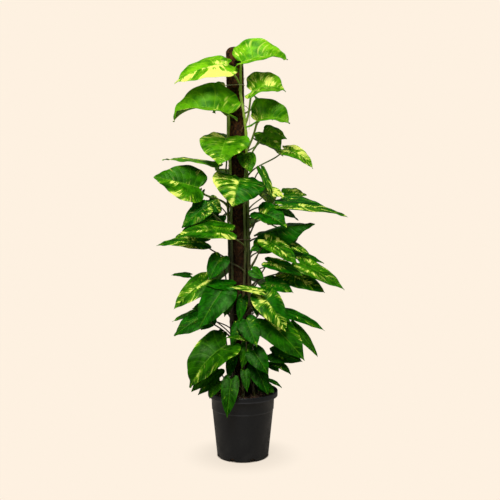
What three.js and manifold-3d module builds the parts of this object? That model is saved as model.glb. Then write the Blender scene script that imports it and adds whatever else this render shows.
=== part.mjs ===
// A golden pothos that climbs a coir pole in a nursery pot.
// Millimetres, +Z up. The origin is the middle of the pot's underside, and the plant's front faces -Y.

import * as THREE from "three";
import { mergeVertices } from "three/addons/utils/BufferGeometryUtils.js";
import Module from "manifold-3d";

const wasm = await Module();
wasm.setup();

// ---------------------------------------------------------------- driving dimensions

const GAP = 0.3; // clearance kept between pieces that touch
const MERGE = 0.05; // points closer than this become one where blades and stalks join

const POT = {
  height: 182,
  rimRadius: 95,
  rimDepth: 15,
  neckRadius: 85.7, // body radius just under the rim
  stepHeight: 132, // a small step runs round the body here
  stepWidth: 1.3,
  stepRadius: 83, // body radius just under the step
  footRadius: 70,
  wall: 1.5,
  floor: 3,
  edge: 1.5, // rounding of the rim and the foot
  sides: 32,
};
const DRAIN = { count: 8, width: 18, height: 10, inside: 61, outside: 78, sides: 8 };
const SOIL = { top: 165, crown: 4, shoulder: 0.8 };

const POLE = {
  radius: 22.5,
  bottom: 60,
  top: 1100,
  dome: 16, // height of the rounded top
  domeAngles: [0, 25, 50, 70],
  domeFullness: 0.8, // 1 is an ellipse, less is fuller
  lean: 0.0225, // shift towards -X for each millimetre of height
  leanFrom: 150, // the pole stands over the pot's middle at this height
  sides: 20,
};
const STAKE = { radius: 9, top: 1070 };

const STEM = {
  radius: 4,
  topRadius: 3.4,
  depth: 60, // how far it is planted in the soil
  offset: 0.6, // from the pole's surface
  spread: 16, // further out at the soil, where the cuttings were planted
  spreadFrom: 150,
  spreadTo: 240,
  step: 70,
  sides: 6,
};
const PETIOLE = {
  radius: 1.1,
  perWidth: 0.014, // a wider blade has a thicker stalk
  leaving: 0.6, // how far it leans out from the stem where it leaves, against rising straight up
  arriving: { up: 0.7, forward: 0.3, level: 0.5 }, // along the leaf's up and forward and +Z, at the blade
  reach: 0.35, // of the span, along which it keeps each of the two directions
  under: 0.1, // it runs on under the rib to this share of its length
  thinning: 0.4, // its radius there, against the rest
  steps: 4,
  sides: 3,
};
const BLADE = {
  thickness: 0.8,
  curl: 0.18, // how far the margins hang, as a share of half the width
  wave: 0.05,
  waveStep: 2.2, // from one row of the outline to the next, in radians
  waveShift: 1.7, // between the two sides
  veinSweep: 1.2, // how strongly the side veins curve towards the tip
  largeFrom: 93,
  middle: 0.55,
};
const TIE = { gap: 1.2, width: 2.4, thickness: 1, reach: 45, sides: 24, samples: 60 };
const TIES = { tie_top: 1000, tie_middle: 595, tie_low: 395 };

// Half of a leaf's outline, from the stalk round the lobe to the tip.
// Each point is a share of the length and a share of half the width.
const OUTLINE = [
  [0, 0],
  [-0.08, 0.2],
  [-0.13, 0.5],
  [-0.07, 0.82],
  [0.1, 1],
  [0.36, 0.95],
  [0.6, 0.74],
  [0.78, 0.43],
  [0.91, 0.16],
  [1, 0],
];
const SMALL_LEAF_ROWS = [1, 3, 4, 6, 8, 9];
const LARGE_LEAF_ROWS = [1, 2, 3, 4, 5, 6, 7, 8, 9];
const RIB_FROM = 0.12; // side veins leave the rib from here on, as a share of the length

// The plant. climb: heights and compass angles round the pole (0 is the front, 90 is +X) that a stem passes.
// A leaf: height of its node, stalk end, tip, width, [compass angle, rise] of its upper face,
// [droop, fold, twist] in degrees.
const VINES = [
  { name: "vine_1", climb: [[100, 50], [870, 72], [985, 26]], leaves: [
    [985, [-1, -60, 1056], [117, -50, 1062], 122, [5, 50], [56, 38, 0]],
    [978, [-37, -64, 1050], [-173, -90, 998], 94, [-5, 50], [50, 4, 0]],
    [900, [25, -63, 982], [112, -63, 980], 116, [-10, 52], [80, 28, 0]],
    [800, [54, 0, 878], [101, -26, 829], 66, [10, 45], [40, 10, 0]],
    [700, [49, -20, 781], [77, -35, 706], 42, [55, 15], [20, 10, 0]],
    [620, [106, -42, 688], [277, -45, 656], 60, [5, 70], [25, 10, 0]],
    [600, [43, -50, 670], [115, -80, 631], 84, [12, 48], [40, 22, 0]],
    [510, [62, -42, 596], [145, -78, 531], 62, [10, 50], [30, 14, 0]],
    [505, [41, -20, 575], [20, -25, 565], 22, [0, 40], [15, 5, 0]],
    [450, [67, -30, 536], [159, -50, 501], 52, [15, 55], [30, 8, 0]],
    [440, [25, -25, 514], [57, -35, 491], 34, [0, 40], [15, 5, 0]],
    [390, [63, -14, 480], [136, -32, 453], 54, [5, 50], [35, 10, 0]],
    [290, [60, -38, 384], [164, -80, 280], 98, [15, 35], [30, 12, 0]],
    [200, [33, -35, 256], [68, -60, 183], 50, [10, 25], [20, 8, 0]],
    [340, [33, -24, 430], [38, -34, 389], 24, [20, 30], [20, 8, 0]],
  ] },
  { name: "vine_2", climb: [[100, -55], [850, -40]], leaves: [
    [850, [-39, -68, 923], [-180, -45, 904], 156, [5, 54], [96, 42, 0]],
    [800, [-42, -60, 862], [-59, -118, 794], 134, [-8, 40], [30, 14, 0]],
    [610, [-95, -57, 684], [-158, -66, 629], 56, [-15, 30], [25, 12, 0]],
    [420, [-25, -44, 475], [-99, -52, 476], 50, [0, 60], [25, 8, 0]],
    [400, [-49, -60, 471], [-113, -100, 369], 88, [-10, 35], [30, 5, 0]],
    [250, [-44, -55, 317], [-138, -85, 208], 122, [-12, 48], [70, 26, 0]],
    [180, [-60, -70, 223], [-88, -80, 178], 36, [-20, 30], [30, 20, 0]],
    [290, [-12, -50, 372], [-28, -68, 314], 30, [-10, 30], [20, 8, 0]],
    [340, [-32, -44, 437], [-48, -58, 393], 26, [-15, 30], [20, 8, 0]],
    [210, [-25, -54, 292], [-38, -76, 229], 32, [-15, 25], [20, 8, 0]],
    [830, [-64, 8, 974], [-74, 58, 928], 64, [268, 18], [20, 12, 0]],
  ] },
  { name: "vine_3", climb: [[100, 95], [830, 110]], leaves: [
    [830, [38, -45, 904], [123, -60, 898], 126, [-22, 46], [96, 42, 0]],
    [800, [62, 30, 881], [119, 36, 860], 54, [20, 40], [30, 8, 0]],
    [760, [110, 0, 834], [185, -30, 782], 58, [30, 40], [64, 10, 0]],
    [670, [73, -10, 726], [110, -15, 707], 36, [10, 50], [20, 8, 0]],
    [640, [99, 12, 695], [227, 8, 671], 56, [5, 75], [55, 8, 0]],
    [650, [84, 2, 678], [149, -6, 644], 48, [5, 72], [30, 8, 0]],
    [550, [41, 14, 601], [192, -24, 636], 104, [10, 48], [25, -28, 0]],
    [540, [114, 4, 585], [180, -20, 553], 36, [10, 55], [20, 8, 0]],
    [460, [153, -20, 532], [271, -40, 462], 60, [20, 45], [25, 8, 0]],
    [340, [112, 8, 395], [222, -12, 346], 46, [20, 60], [25, 8, 0]],
  ] },
  { name: "vine_4", climb: [[100, -100], [740, -95]], leaves: [
    [740, [-70, -20, 797], [-212, -20, 805], 90, [0, 84], [20, 5, 0]],
    [680, [-114, -45, 733], [-232, -60, 762], 116, [-5, 37], [15, 18, 0]],
    [655, [-109, -12, 722], [-138, -20, 660], 24, [-40, 20], [15, 8, 0]],
    [600, [-89, -8, 699], [-57, -16, 665], 42, [-15, 30], [15, 8, 0]],
    [530, [-100, -20, 588], [-228, -40, 580], 60, [-5, 62], [30, 6, 20]],
    [430, [-92, -12, 488], [-183, -45, 411], 68, [-15, 35], [35, 6, 0]],
    [320, [-103, -25, 390], [-183, -45, 339], 62, [-20, 35], [25, 8, 0]],
    [190, [-67, -20, 244], [-138, -50, 188], 50, [-20, 30], [30, 8, 0]],
    [250, [-53, -12, 343], [-80, -24, 307], 30, [-20, 30], [20, 8, 0]],
    [735, [-54, 18, 828], [-66, 70, 772], 78, [262, 18], [25, 12, 0]],
    [410, [-64, 8, 528], [-80, 54, 472], 66, [262, 22], [25, 10, 0]],
  ] },
  { name: "vine_5", climb: [[100, 0], [380, 10], [560, 38], [750, 36]], leaves: [
    [750, [9, -40, 821], [20, -75, 773], 50, [10, 30], [20, 5, 0]],
    [690, [-6, -60, 759], [-24, -106, 687], 140, [4, 30], [84, 8, 0]],
    [560, [-35, -72, 622], [-175, -84, 605], 76, [-5, 55], [50, 10, 0]],
    [500, [-57, -42, 551], [-88, -64, 492], 58, [-15, 30], [20, 8, 0]],
    [400, [51, -72, 463], [-34, -76, 475], 30, [0, 60], [15, 10, 0]],
    [370, [51, -60, 455], [114, -90, 359], 78, [10, 38], [35, 8, 0]],
    [310, [9, -62, 386], [38, -96, 320], 58, [5, 28], [25, 8, 0]],
    [250, [27, -58, 303], [68, -85, 245], 54, [10, 22], [25, 6, 0]],
    [180, [-30, -92, 232], [-40, -125, 139], 48, [-5, 25], [30, 14, 0]],
    [350, [1, -52, 444], [-9, -66, 380], 30, [0, 30], [20, 8, 0]],
    [220, [12, -52, 318], [-2, -70, 257], 32, [5, 25], [20, 8, 0]],
    [178, [6, -62, 249], [12, -86, 197], 26, [5, 25], [20, 8, 0]],
    [240, [9, -72, 335], [-46, -84, 342], 16, [0, 60], [40, 10, 0]],
  ] },
  { name: "vine_6", climb: [[100, 175], [940, 175]], leaves: [
    [940, [-46, 62, 1000], [-118, 112, 966], 92, [218, 46], [28, 12, 0]],
    [900, [50, 64, 962], [82, 142, 912], 80, [120, 30], [25, 10, 0]],
    [820, [-36, 70, 870], [-80, 170, 826], 100, [202, 42], [35, 14, 0]],
    [800, [50, 58, 858], [112, 124, 812], 66, [130, 38], [25, 8, 0]],
    [710, [-24, 76, 776], [-56, 186, 746], 86, [186, 60], [35, 10, 8]],
    [690, [44, 66, 742], [78, 158, 664], 76, [146, 28], [30, 12, 0]],
    [170, [0, 75, 220], [-10, 150, 190], 50, [180, 50], [30, 8, 0]],
    [590, [4, 78, 642], [16, 180, 602], 72, [176, 44], [28, 12, 0]],
  ] },
  { name: "vine_7", climb: [[100, 135], [700, 145]], leaves: [
    [650, [113, 66, 711], [175, 66, 708], 66, [0, 58], [20, 6, 0]],
    [570, [95, 72, 620], [148, 142, 568], 84, [128, 34], [30, 10, 0]],
    [480, [127, 28, 552], [221, 25, 525], 40, [10, 60], [20, 8, 0]],
    [430, [44, 62, 478], [74, 162, 416], 70, [152, 32], [30, 8, 0]],
    [420, [112, 18, 505], [221, -12, 450], 72, [10, 43], [25, 6, 0]],
    [340, [50, 60, 392], [118, 150, 308], 92, [142, 28], [30, 12, 0]],
    [300, [136, 5, 357], [204, 0, 272], 38, [40, 20], [25, 8, 0]],
    [220, [50, 50, 274], [104, 138, 208], 74, [134, 30], [30, 10, 0]],
    [220, [79, -20, 288], [161, -40, 268], 58, [10, 46], [25, 8, 0]],
    [210, [87, -25, 261], [130, -30, 230], 26, [10, 50], [60, 20, 0]],
    [200, [74, -5, 260], [98, -10, 233], 30, [10, 50], [15, 5, 0]],
    [180, [71, -15, 212], [106, -20, 191], 18, [0, 70], [40, 10, 0]],
    [175, [52, -25, 200], [84, -50, 187], 40, [10, 50], [15, 5, 0]],
  ] },
  { name: "vine_8", climb: [[100, -140], [640, -140]], leaves: [
    [590, [-66, 28, 656], [-178, 22, 593], 60, [-20, 30], [25, 8, 0]],
    [600, [-60, 50, 652], [-124, 124, 588], 92, [228, 32], [30, 12, 0]],
    [470, [-34, 74, 520], [-82, 172, 446], 84, [206, 32], [30, 10, 0]],
    [430, [-143, 25, 493], [-195, 25, 493], 30, [0, 70], [20, 8, 0]],
    [370, [-97, 16, 410], [-137, 8, 403], 30, [-10, 40], [20, 8, 0]],
    [350, [-52, 58, 404], [-114, 148, 322], 92, [222, 28], [30, 12, 0]],
    [330, [-116, 5, 398], [-191, 0, 369], 40, [0, 75], [20, 8, 0]],
    [310, [-87, 20, 379], [-114, 12, 344], 46, [0, 40], [20, 8, 0]],
    [230, [-42, 60, 284], [-84, 156, 222], 82, [204, 40], [30, 10, 0]],
    [170, [-78, -10, 211], [-121, -25, 173], 30, [-10, 30], [25, 8, 0]],
  ] },
];

// ---------------------------------------------------------------- solids

const vector = (list) => new THREE.Vector3(...list);
const radians = THREE.MathUtils.degToRad;

/** A closed geometry as a solid that can be joined and cut. */
function solidOf(geometry) {
  const bare = geometry.clone();
  bare.deleteAttribute("normal");
  bare.deleteAttribute("uv");
  const merged = mergeVertices(bare, 1e-4);
  const mesh = new wasm.Mesh({
    numProp: 3,
    vertProperties: new Float32Array(merged.attributes.position.array),
    triVerts: new Uint32Array(merged.index.array),
  });
  return new wasm.Manifold(mesh);
}

/** A solid from a list of points and a list of triangles that faces out. */
function solidFrom(points, triangles) {
  const geometry = new THREE.BufferGeometry().setFromPoints(points);
  geometry.setIndex(triangles.flat());
  return solidOf(geometry);
}

/** A named mesh of a solid or of a closed geometry. */
function piece(name, shape, material) {
  if (shape instanceof THREE.BufferGeometry) {
    return named(new THREE.Mesh(shape, material), name);
  }
  const mesh = shape.getMesh();
  const geometry = new THREE.BufferGeometry();
  geometry.setAttribute("position", new THREE.BufferAttribute(mesh.vertProperties, 3));
  geometry.setIndex(new THREE.BufferAttribute(mesh.triVerts, 1));
  geometry.computeVertexNormals();
  return named(new THREE.Mesh(geometry, material), name);
}

function named(object, name) {
  object.name = name;
  return object;
}

/** A solid turned from a profile of [radius, height] pairs, with +Z as its axis. */
function turned(profile, sides) {
  const points = profile.map(([radius, height]) => new THREE.Vector2(radius, height));
  const geometry = new THREE.LatheGeometry(points, sides);
  geometry.rotateX(Math.PI / 2);
  return geometry;
}

/** A closed tube through a list of centres, each with its own radius. */
function tube(centres, radii, sides) {
  const points = [];
  const triangles = [];
  let across = new THREE.Vector3(1, 0, 0);
  centres.forEach((centre, i) => {
    const before = centres[Math.max(i - 1, 0)];
    const after = centres[Math.min(i + 1, centres.length - 1)];
    const along = after.clone().sub(before).normalize();
    across = across.clone().addScaledVector(along, -across.dot(along)).normalize();
    const other = along.clone().cross(across);
    for (let k = 0; k < sides; k += 1) {
      const angle = (2 * Math.PI * k) / sides;
      points.push(
        centre
          .clone()
          .addScaledVector(across, radii[i] * Math.cos(angle))
          .addScaledVector(other, radii[i] * Math.sin(angle)),
      );
    }
  });
  const last = (centres.length - 1) * sides;
  for (let ring = 0; ring < last; ring += sides) {
    for (let k = 0; k < sides; k += 1) {
      const next = (k + 1) % sides;
      triangles.push([ring + k, ring + next, ring + sides + next]);
      triangles.push([ring + k, ring + sides + next, ring + sides + k]);
    }
  }
  for (let k = 1; k < sides - 1; k += 1) {
    triangles.push([0, k + 1, k]);
    triangles.push([last, last + k, last + k + 1]);
  }
  return solidFrom(points, triangles);
}

// ---------------------------------------------------------------- places round the pole

/** The level direction that leaves the pole at a compass angle. */
function outward(compass) {
  return new THREE.Vector3(Math.sin(radians(compass)), -Math.cos(radians(compass)), 0);
}

/** The pole's axis at a height. */
function poleAxis(height) {
  return new THREE.Vector3(-POLE.lean * (height - POLE.leanFrom), 0, height);
}

/** The compass angle of a stem at a height, in straight steps between the points of its climb. */
function compassAt(vine, height) {
  const climb = vine.climb;
  const i = Math.max(1, climb.findIndex(([top]) => top >= height));
  const [[low, from], [high, to]] = [climb[i - 1], climb[i]];
  return THREE.MathUtils.mapLinear(height, low, high, from, to);
}

/** The middle of a stem at a height. */
function stemAt(vine, height) {
  const spread = 1 - THREE.MathUtils.smoothstep(height, STEM.spreadFrom, STEM.spreadTo);
  const distance = POLE.radius + STEM.offset + STEM.radius + STEM.spread * spread;
  return poleAxis(height).addScaledVector(outward(compassAt(vine, height)), distance);
}

// ---------------------------------------------------------------- leaves

/** A leaf's directions, its arched rib and its sizes. */
function leafFrame([node, stalkEnd, tip, width, [compass, rise], [droop, fold, twist]]) {
  const base = vector(stalkEnd);
  const forward = vector(tip).sub(base);
  const span = forward.length();
  forward.normalize();
  const facing = outward(compass).multiplyScalar(Math.cos(radians(rise)));
  facing.z = Math.sin(radians(rise));
  const up = facing.addScaledVector(forward, -facing.dot(forward)).normalize();
  const across = forward.clone().cross(up);
  const turn = radians(droop);
  const radius = span / (2 * Math.sin(turn / 2));
  return { node, base, forward, up, across, turn, radius, width, fold: radians(fold), twist: radians(twist) };
}

/** The point on the rib at a share of its length, with the directions there. */
function ribAt(leaf, share) {
  const half = leaf.turn / 2;
  const angle = half - leaf.turn * Math.max(share, 0);
  const point = leaf.base
    .clone()
    .addScaledVector(leaf.forward, leaf.radius * (Math.sin(half) - Math.sin(angle)))
    .addScaledVector(leaf.up, leaf.radius * (Math.cos(angle) - Math.cos(half)));
  const [cosine, sine] = [Math.cos(angle), Math.sin(angle)];
  const along = leaf.forward.clone().multiplyScalar(cosine).addScaledVector(leaf.up, sine);
  const up = leaf.up.clone().multiplyScalar(cosine).addScaledVector(leaf.forward, -sine);
  point.addScaledVector(along, Math.min(share, 0) * leaf.radius * leaf.turn);
  const roll = leaf.twist * (share - 0.5);
  const rolledUp = up.clone().multiplyScalar(Math.cos(roll)).addScaledVector(leaf.across, Math.sin(roll));
  const across = leaf.across.clone().multiplyScalar(Math.cos(roll)).addScaledVector(up, -Math.sin(roll));
  return { point, along, up: rolledUp, across };
}

/** A point of the blade. row counts along the outline, ratio runs from the rib (0) to the margin (1). */
function bladePoint(leaf, row, ratio, side) {
  const [share, breadth] = OUTLINE[row];
  const ribShare = Math.max(0, (share - RIB_FROM) / (1 - RIB_FROM));
  const at = ribAt(leaf, ribShare + (share - ribShare) * ratio ** BLADE.veinSweep);
  const halfWidth = leaf.width / 2;
  const reach = breadth * ratio * halfWidth;
  const phase = BLADE.waveStep * row + BLADE.waveShift * side + leaf.node;
  const wave = BLADE.wave * halfWidth * ratio ** 2 * Math.sin(phase);
  const lift = reach * Math.sin(leaf.fold) - (BLADE.curl * reach ** 2) / halfWidth + wave;
  const point = at.point
    .addScaledVector(at.across, side * reach * Math.cos(leaf.fold))
    .addScaledVector(at.up, lift);
  const tilt = ratio > 0 ? leaf.fold : 0;
  const up = at.up.multiplyScalar(Math.cos(tilt)).addScaledVector(at.across, -side * Math.sin(tilt));
  return { point, up };
}

/** The blade: one waved sheet of even thickness, split into triangles alike on both faces. */
function blade(leaf) {
  const large = leaf.width >= BLADE.largeFrom;
  const rows = large ? LARGE_LEAF_ROWS : SMALL_LEAF_ROWS;
  const ratios = large ? [0, BLADE.middle, 1] : [0, 1];
  const sheet = [];
  const places = new Map();
  const place = (row, column, side) => {
    const [share, breadth] = OUTLINE[row];
    const onRib = column === 0 || breadth === 0;
    const key = onRib ? `rib ${share <= RIB_FROM ? 0 : row}` : `${row} ${column} ${side}`;
    if (!places.has(key)) {
      places.set(key, sheet.length);
      sheet.push(bladePoint(leaf, onRib && share <= RIB_FROM ? 0 : row, onRib ? 0 : ratios[column], side));
    }
    return places.get(key);
  };
  const upper = [];
  for (const side of [-1, 1]) {
    for (let i = 0; i < rows.length - 1; i += 1) {
      for (let column = 0; column < ratios.length - 1; column += 1) {
        const inner = place(rows[i], column, side);
        const outer = place(rows[i], column + 1, side);
        const outerNext = place(rows[i + 1], column + 1, side);
        const innerNext = place(rows[i + 1], column, side);
        for (const [a, b, c] of [[inner, outer, outerNext], [inner, outerNext, innerNext]]) {
          if (a !== b && b !== c && c !== a) {
            upper.push(side > 0 ? [a, b, c] : [a, c, b]);
          }
        }
      }
    }
  }
  return thickened(sheet, upper, BLADE.thickness);
}

/** A sheet of points and triangles made into a solid of even thickness. */
function thickened(sheet, upper, thickness) {
  const count = sheet.length;
  const points = [1, -1].flatMap((face) =>
    sheet.map(({ point, up }) => point.clone().addScaledVector(up, (face * thickness) / 2)),
  );
  const lower = upper.map(([a, b, c]) => [a + count, c + count, b + count]);
  const edges = new Set(upper.flatMap(([a, b, c]) => [`${a} ${b}`, `${b} ${c}`, `${c} ${a}`]));
  const rim = [...edges]
    .map((edge) => edge.split(" ").map(Number))
    .filter(([a, b]) => !edges.has(`${b} ${a}`))
    .flatMap(([a, b]) => [[b, a, a + count], [b, a + count, b + count]]);
  return solidFrom(points, [...upper, ...lower, ...rim]);
}

/** The stalk's curve, from the middle of the stem to the underside of the blade. */
function petioleCurve(vine, leaf) {
  const root = stemAt(vine, leaf.node);
  const span = leaf.base.distanceTo(root);
  const out = outward(compassAt(vine, leaf.node));
  const leaving = new THREE.Vector3(0, 0, 1).addScaledVector(out, PETIOLE.leaving).normalize();
  const arriving = new THREE.Vector3(0, 0, PETIOLE.arriving.level)
    .addScaledVector(leaf.up, PETIOLE.arriving.up)
    .addScaledVector(leaf.forward, PETIOLE.arriving.forward)
    .normalize();
  const first = root.clone().addScaledVector(leaving, PETIOLE.reach * span);
  const second = leaf.base.clone().addScaledVector(arriving, -PETIOLE.reach * span);
  return new THREE.CubicBezierCurve3(root, first, second, leaf.base.clone());
}

function petioleRadius(leaf) {
  return PETIOLE.radius + PETIOLE.perWidth * leaf.width;
}

/** The stalk, which runs on under the rib, thinner and thinner, so that the blade sits on it. */
function petiole(vine, leaf) {
  const radius = petioleRadius(leaf);
  const centres = petioleCurve(vine, leaf).getPoints(PETIOLE.steps);
  const radii = centres.map(() => radius);
  const under = ribAt(leaf, PETIOLE.under);
  const thin = PETIOLE.thinning * radius;
  centres.at(-1).addScaledVector(leaf.up, -radius);
  centres.push(under.point.addScaledVector(under.up, -thin));
  radii.push(thin);
  return tube(centres, radii, PETIOLE.sides);
}

// ---------------------------------------------------------------- stems

/** Heights of a stem's rings, from its planted end to its top. */
function stemHeights(top) {
  const low = SOIL.top - STEM.depth;
  const count = Math.ceil((top - low) / STEM.step);
  return Array.from({ length: count + 1 }, (_, i) => low + ((top - low) * i) / count);
}

function stem(vine, extra = 0) {
  const top = vine.climb.at(-1)[0];
  const heights = stemHeights(top);
  const centres = heights.map((height) => stemAt(vine, height));
  const radii = heights.map((height) => {
    const share = (height - heights[0]) / (top - heights[0]);
    return THREE.MathUtils.lerp(STEM.radius, STEM.topRadius, share) + extra;
  });
  if (extra > 0) {
    centres[0].z -= extra;
  }
  return tube(centres, radii, STEM.sides);
}

/** One climbing stem with its leaf stalks and leaves, grown as one piece. */
function leafyStem(vine) {
  const leaves = vine.leaves.map(leafFrame);
  const solids = leaves.flatMap((leaf) => [petiole(vine, leaf), blade(leaf)]);
  return wasm.Manifold.union([stem(vine), ...solids]).simplify(MERGE);
}

// ---------------------------------------------------------------- pot, soil and pole

/** The pot's inner wall, from the floor up, as [radius, height]. */
function potInside() {
  return [
    [POT.footRadius - POT.wall, POT.floor],
    [POT.stepRadius - POT.wall, POT.stepHeight],
    [POT.stepRadius + POT.stepWidth - POT.wall, POT.stepHeight + POT.wall],
    [POT.neckRadius - POT.wall, POT.height - POT.rimDepth],
  ];
}

function potProfile() {
  const rimBottom = POT.height - POT.rimDepth;
  const rimInside = POT.rimRadius - 2 * POT.wall;
  return [
    [0, 0],
    [POT.footRadius - POT.edge, 0],
    [POT.footRadius, POT.edge],
    [POT.stepRadius, POT.stepHeight - POT.edge],
    [POT.stepRadius + POT.stepWidth, POT.stepHeight],
    [POT.neckRadius, rimBottom],
    [POT.rimRadius - POT.edge, rimBottom],
    [POT.rimRadius, rimBottom + POT.edge],
    [POT.rimRadius, POT.height - POT.edge],
    [POT.rimRadius - POT.edge, POT.height],
    [rimInside, POT.height - POT.edge],
    [rimInside - POT.edge, rimBottom + POT.wall],
    ...potInside().reverse(),
    [0, POT.floor],
  ];
}

/** The arches cut round the foot, through the wall and the edge of the floor. */
function drains() {
  const arches = Array.from({ length: DRAIN.count }, (_, i) => {
    const length = DRAIN.outside - DRAIN.inside;
    const arch = new THREE.CylinderGeometry(DRAIN.width / 2, DRAIN.width / 2, length, DRAIN.sides);
    arch.scale(1, 1, DRAIN.height / (DRAIN.width / 2));
    arch.translate(0, -(DRAIN.outside + DRAIN.inside) / 2, 0);
    arch.rotateZ((2 * Math.PI * (i + 0.5)) / DRAIN.count);
    return solidOf(arch);
  });
  return wasm.Manifold.union(arches);
}

function pot() {
  return solidOf(turned(potProfile(), POT.sides)).subtract(drains());
}

/** Leans a shape that is built upright on the Z axis, as the pole leans. */
function leaned(geometry) {
  const lean = new THREE.Matrix4().makeShear(0, 0, 0, 0, -POLE.lean, 0);
  geometry.applyMatrix4(lean);
  geometry.translate(POLE.lean * POLE.leanFrom, 0, 0);
  return geometry;
}

/** The fibre pole's outline, grown by a clearance, as [radius, height]. */
function poleProfile(extra = 0) {
  const radius = POLE.radius + extra;
  const shoulder = POLE.top - POLE.dome;
  const dome = POLE.domeAngles.map((degrees) => [
    radius * Math.cos(radians(degrees)) ** POLE.domeFullness,
    shoulder + (POLE.dome + extra) * Math.sin(radians(degrees)),
  ]);
  return [[radius, POLE.bottom - extra], ...dome, [0, POLE.top + extra]];
}

function coirSleeve() {
  const bore = STAKE.radius + GAP;
  const profile = [[0, STAKE.top + GAP], [bore, STAKE.top + GAP], [bore, POLE.bottom], ...poleProfile()];
  return leaned(turned(profile, POLE.sides));
}

function poleCore() {
  const profile = [
    [0, POT.floor + GAP],
    [STAKE.radius, POT.floor + GAP],
    [STAKE.radius, STAKE.top],
    [0, STAKE.top],
  ];
  return leaned(turned(profile, POLE.sides));
}

/** The potting mix, with plain holes for the pole, its stake and every stem. */
function soil() {
  const inside = potInside();
  const wall = inside.map(([radius, height]) => [radius - GAP, height]);
  wall[0][1] += GAP;
  wall[wall.length - 1] = [wall.at(-1)[0], SOIL.top];
  const profile = [
    [0, POT.floor + GAP],
    ...wall,
    [POT.neckRadius / 2, SOIL.top + SOIL.shoulder * SOIL.crown],
    [0, SOIL.top + SOIL.crown],
  ];
  const hole = [[0, POLE.bottom - GAP], ...poleProfile(GAP)];
  const stakeHole = [
    [0, 0],
    [STAKE.radius + GAP, 0],
    [STAKE.radius + GAP, SOIL.top],
    [0, SOIL.top],
  ];
  const holes = [
    solidOf(leaned(turned(hole, POLE.sides))),
    solidOf(leaned(turned(stakeHole, POLE.sides))),
    ...VINES.map((vine) => stem(vine, 2 * GAP)),
  ];
  return solidOf(turned(profile, POT.sides)).subtract(wasm.Manifold.union(holes));
}

// ---------------------------------------------------------------- ties

/** What a tie at a height goes round: the pole, the stems and the leaf stalks close to it, as circles. */
function bundleAt(height) {
  const axis = poleAxis(height);
  const circles = [{ centre: axis, radius: POLE.radius }];
  for (const vine of VINES) {
    if (vine.climb.at(-1)[0] >= height) {
      circles.push({ centre: stemAt(vine, height), radius: STEM.radius });
    }
    for (const leaf of vine.leaves.map(leafFrame)) {
      petioleCurve(vine, leaf)
        .getPoints(TIE.samples)
        .filter((point) => Math.abs(point.z - height) < TIE.width && point.distanceTo(axis) < TIE.reach)
        .forEach((centre) => circles.push({ centre, radius: petioleRadius(leaf) }));
    }
  }
  return circles;
}

/** The taut loop round a bundle of circles, as points in order. */
function loopRound(circles, clearance) {
  const points = circles.flatMap(({ centre, radius }) =>
    Array.from({ length: TIE.sides }, (_, i) => {
      const angle = (2 * Math.PI * i) / TIE.sides;
      const reach = radius + clearance;
      return new THREE.Vector2(centre.x + reach * Math.cos(angle), centre.y + reach * Math.sin(angle));
    }),
  );
  points.sort((a, b) => a.x - b.x || a.y - b.y);
  const chain = (list) => {
    const kept = [];
    for (const point of list) {
      while (kept.length > 1 && turnsRight(kept.at(-2), kept.at(-1), point)) {
        kept.pop();
      }
      kept.push(point);
    }
    return kept.slice(0, -1);
  };
  return [...chain(points), ...chain(points.toReversed())];
}

function turnsRight(a, b, c) {
  return (b.x - a.x) * (c.y - a.y) - (b.y - a.y) * (c.x - a.x) <= 1e-6;
}

function tie(height) {
  const circles = bundleAt(height);
  const band = new THREE.Shape(loopRound(circles, TIE.gap + TIE.thickness));
  band.holes.push(new THREE.Path(loopRound(circles, TIE.gap)));
  const geometry = new THREE.ExtrudeGeometry(band, { depth: TIE.width, bevelEnabled: false });
  geometry.translate(0, 0, height - TIE.width / 2);
  return solidOf(geometry);
}

// ---------------------------------------------------------------- the whole plant

const plastic = new THREE.MeshStandardMaterial({ color: "#262627", roughness: 0.45, metalness: 0 });
const earth = new THREE.MeshStandardMaterial({ color: "#2d211a", roughness: 0.95, metalness: 0 });
const coir = new THREE.MeshStandardMaterial({ color: "#4a2a18", roughness: 0.95, metalness: 0 });
const wood = new THREE.MeshStandardMaterial({ color: "#a9834f", roughness: 0.7, metalness: 0 });
const foliage = new THREE.MeshStandardMaterial({ color: "#3f8a26", roughness: 0.35, metalness: 0 });
const twine = new THREE.MeshStandardMaterial({ color: "#cfc6a4", roughness: 0.8, metalness: 0 });

const plant = new THREE.Group();
plant.add(piece("pot", pot(), plastic));
plant.add(piece("soil", soil(), earth));
plant.add(piece("pole_core", poleCore(), wood));
plant.add(piece("coir_sleeve", coirSleeve(), coir));
for (const vine of VINES) {
  plant.add(piece(vine.name, leafyStem(vine), foliage));
}
for (const [name, height] of Object.entries(TIES)) {
  plant.add(piece(name, tie(height), twine));
}

export default plant;
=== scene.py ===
"""Looks for a golden pothos that climbs a coir pole in a nursery pot.

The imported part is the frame. Every stem, leaf stalk and blade follows the same table and the same
formulas as the part's source, on a finer grid, with veins, marbling, fibres and crumbs added.
Lengths are in millimetres until a mesh is made, and metres from there on.
"""

import math
from dataclasses import dataclass
from types import SimpleNamespace as Named

import bmesh
import bpy
import numpy as np
from mathutils import Matrix, Vector, noise


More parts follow.
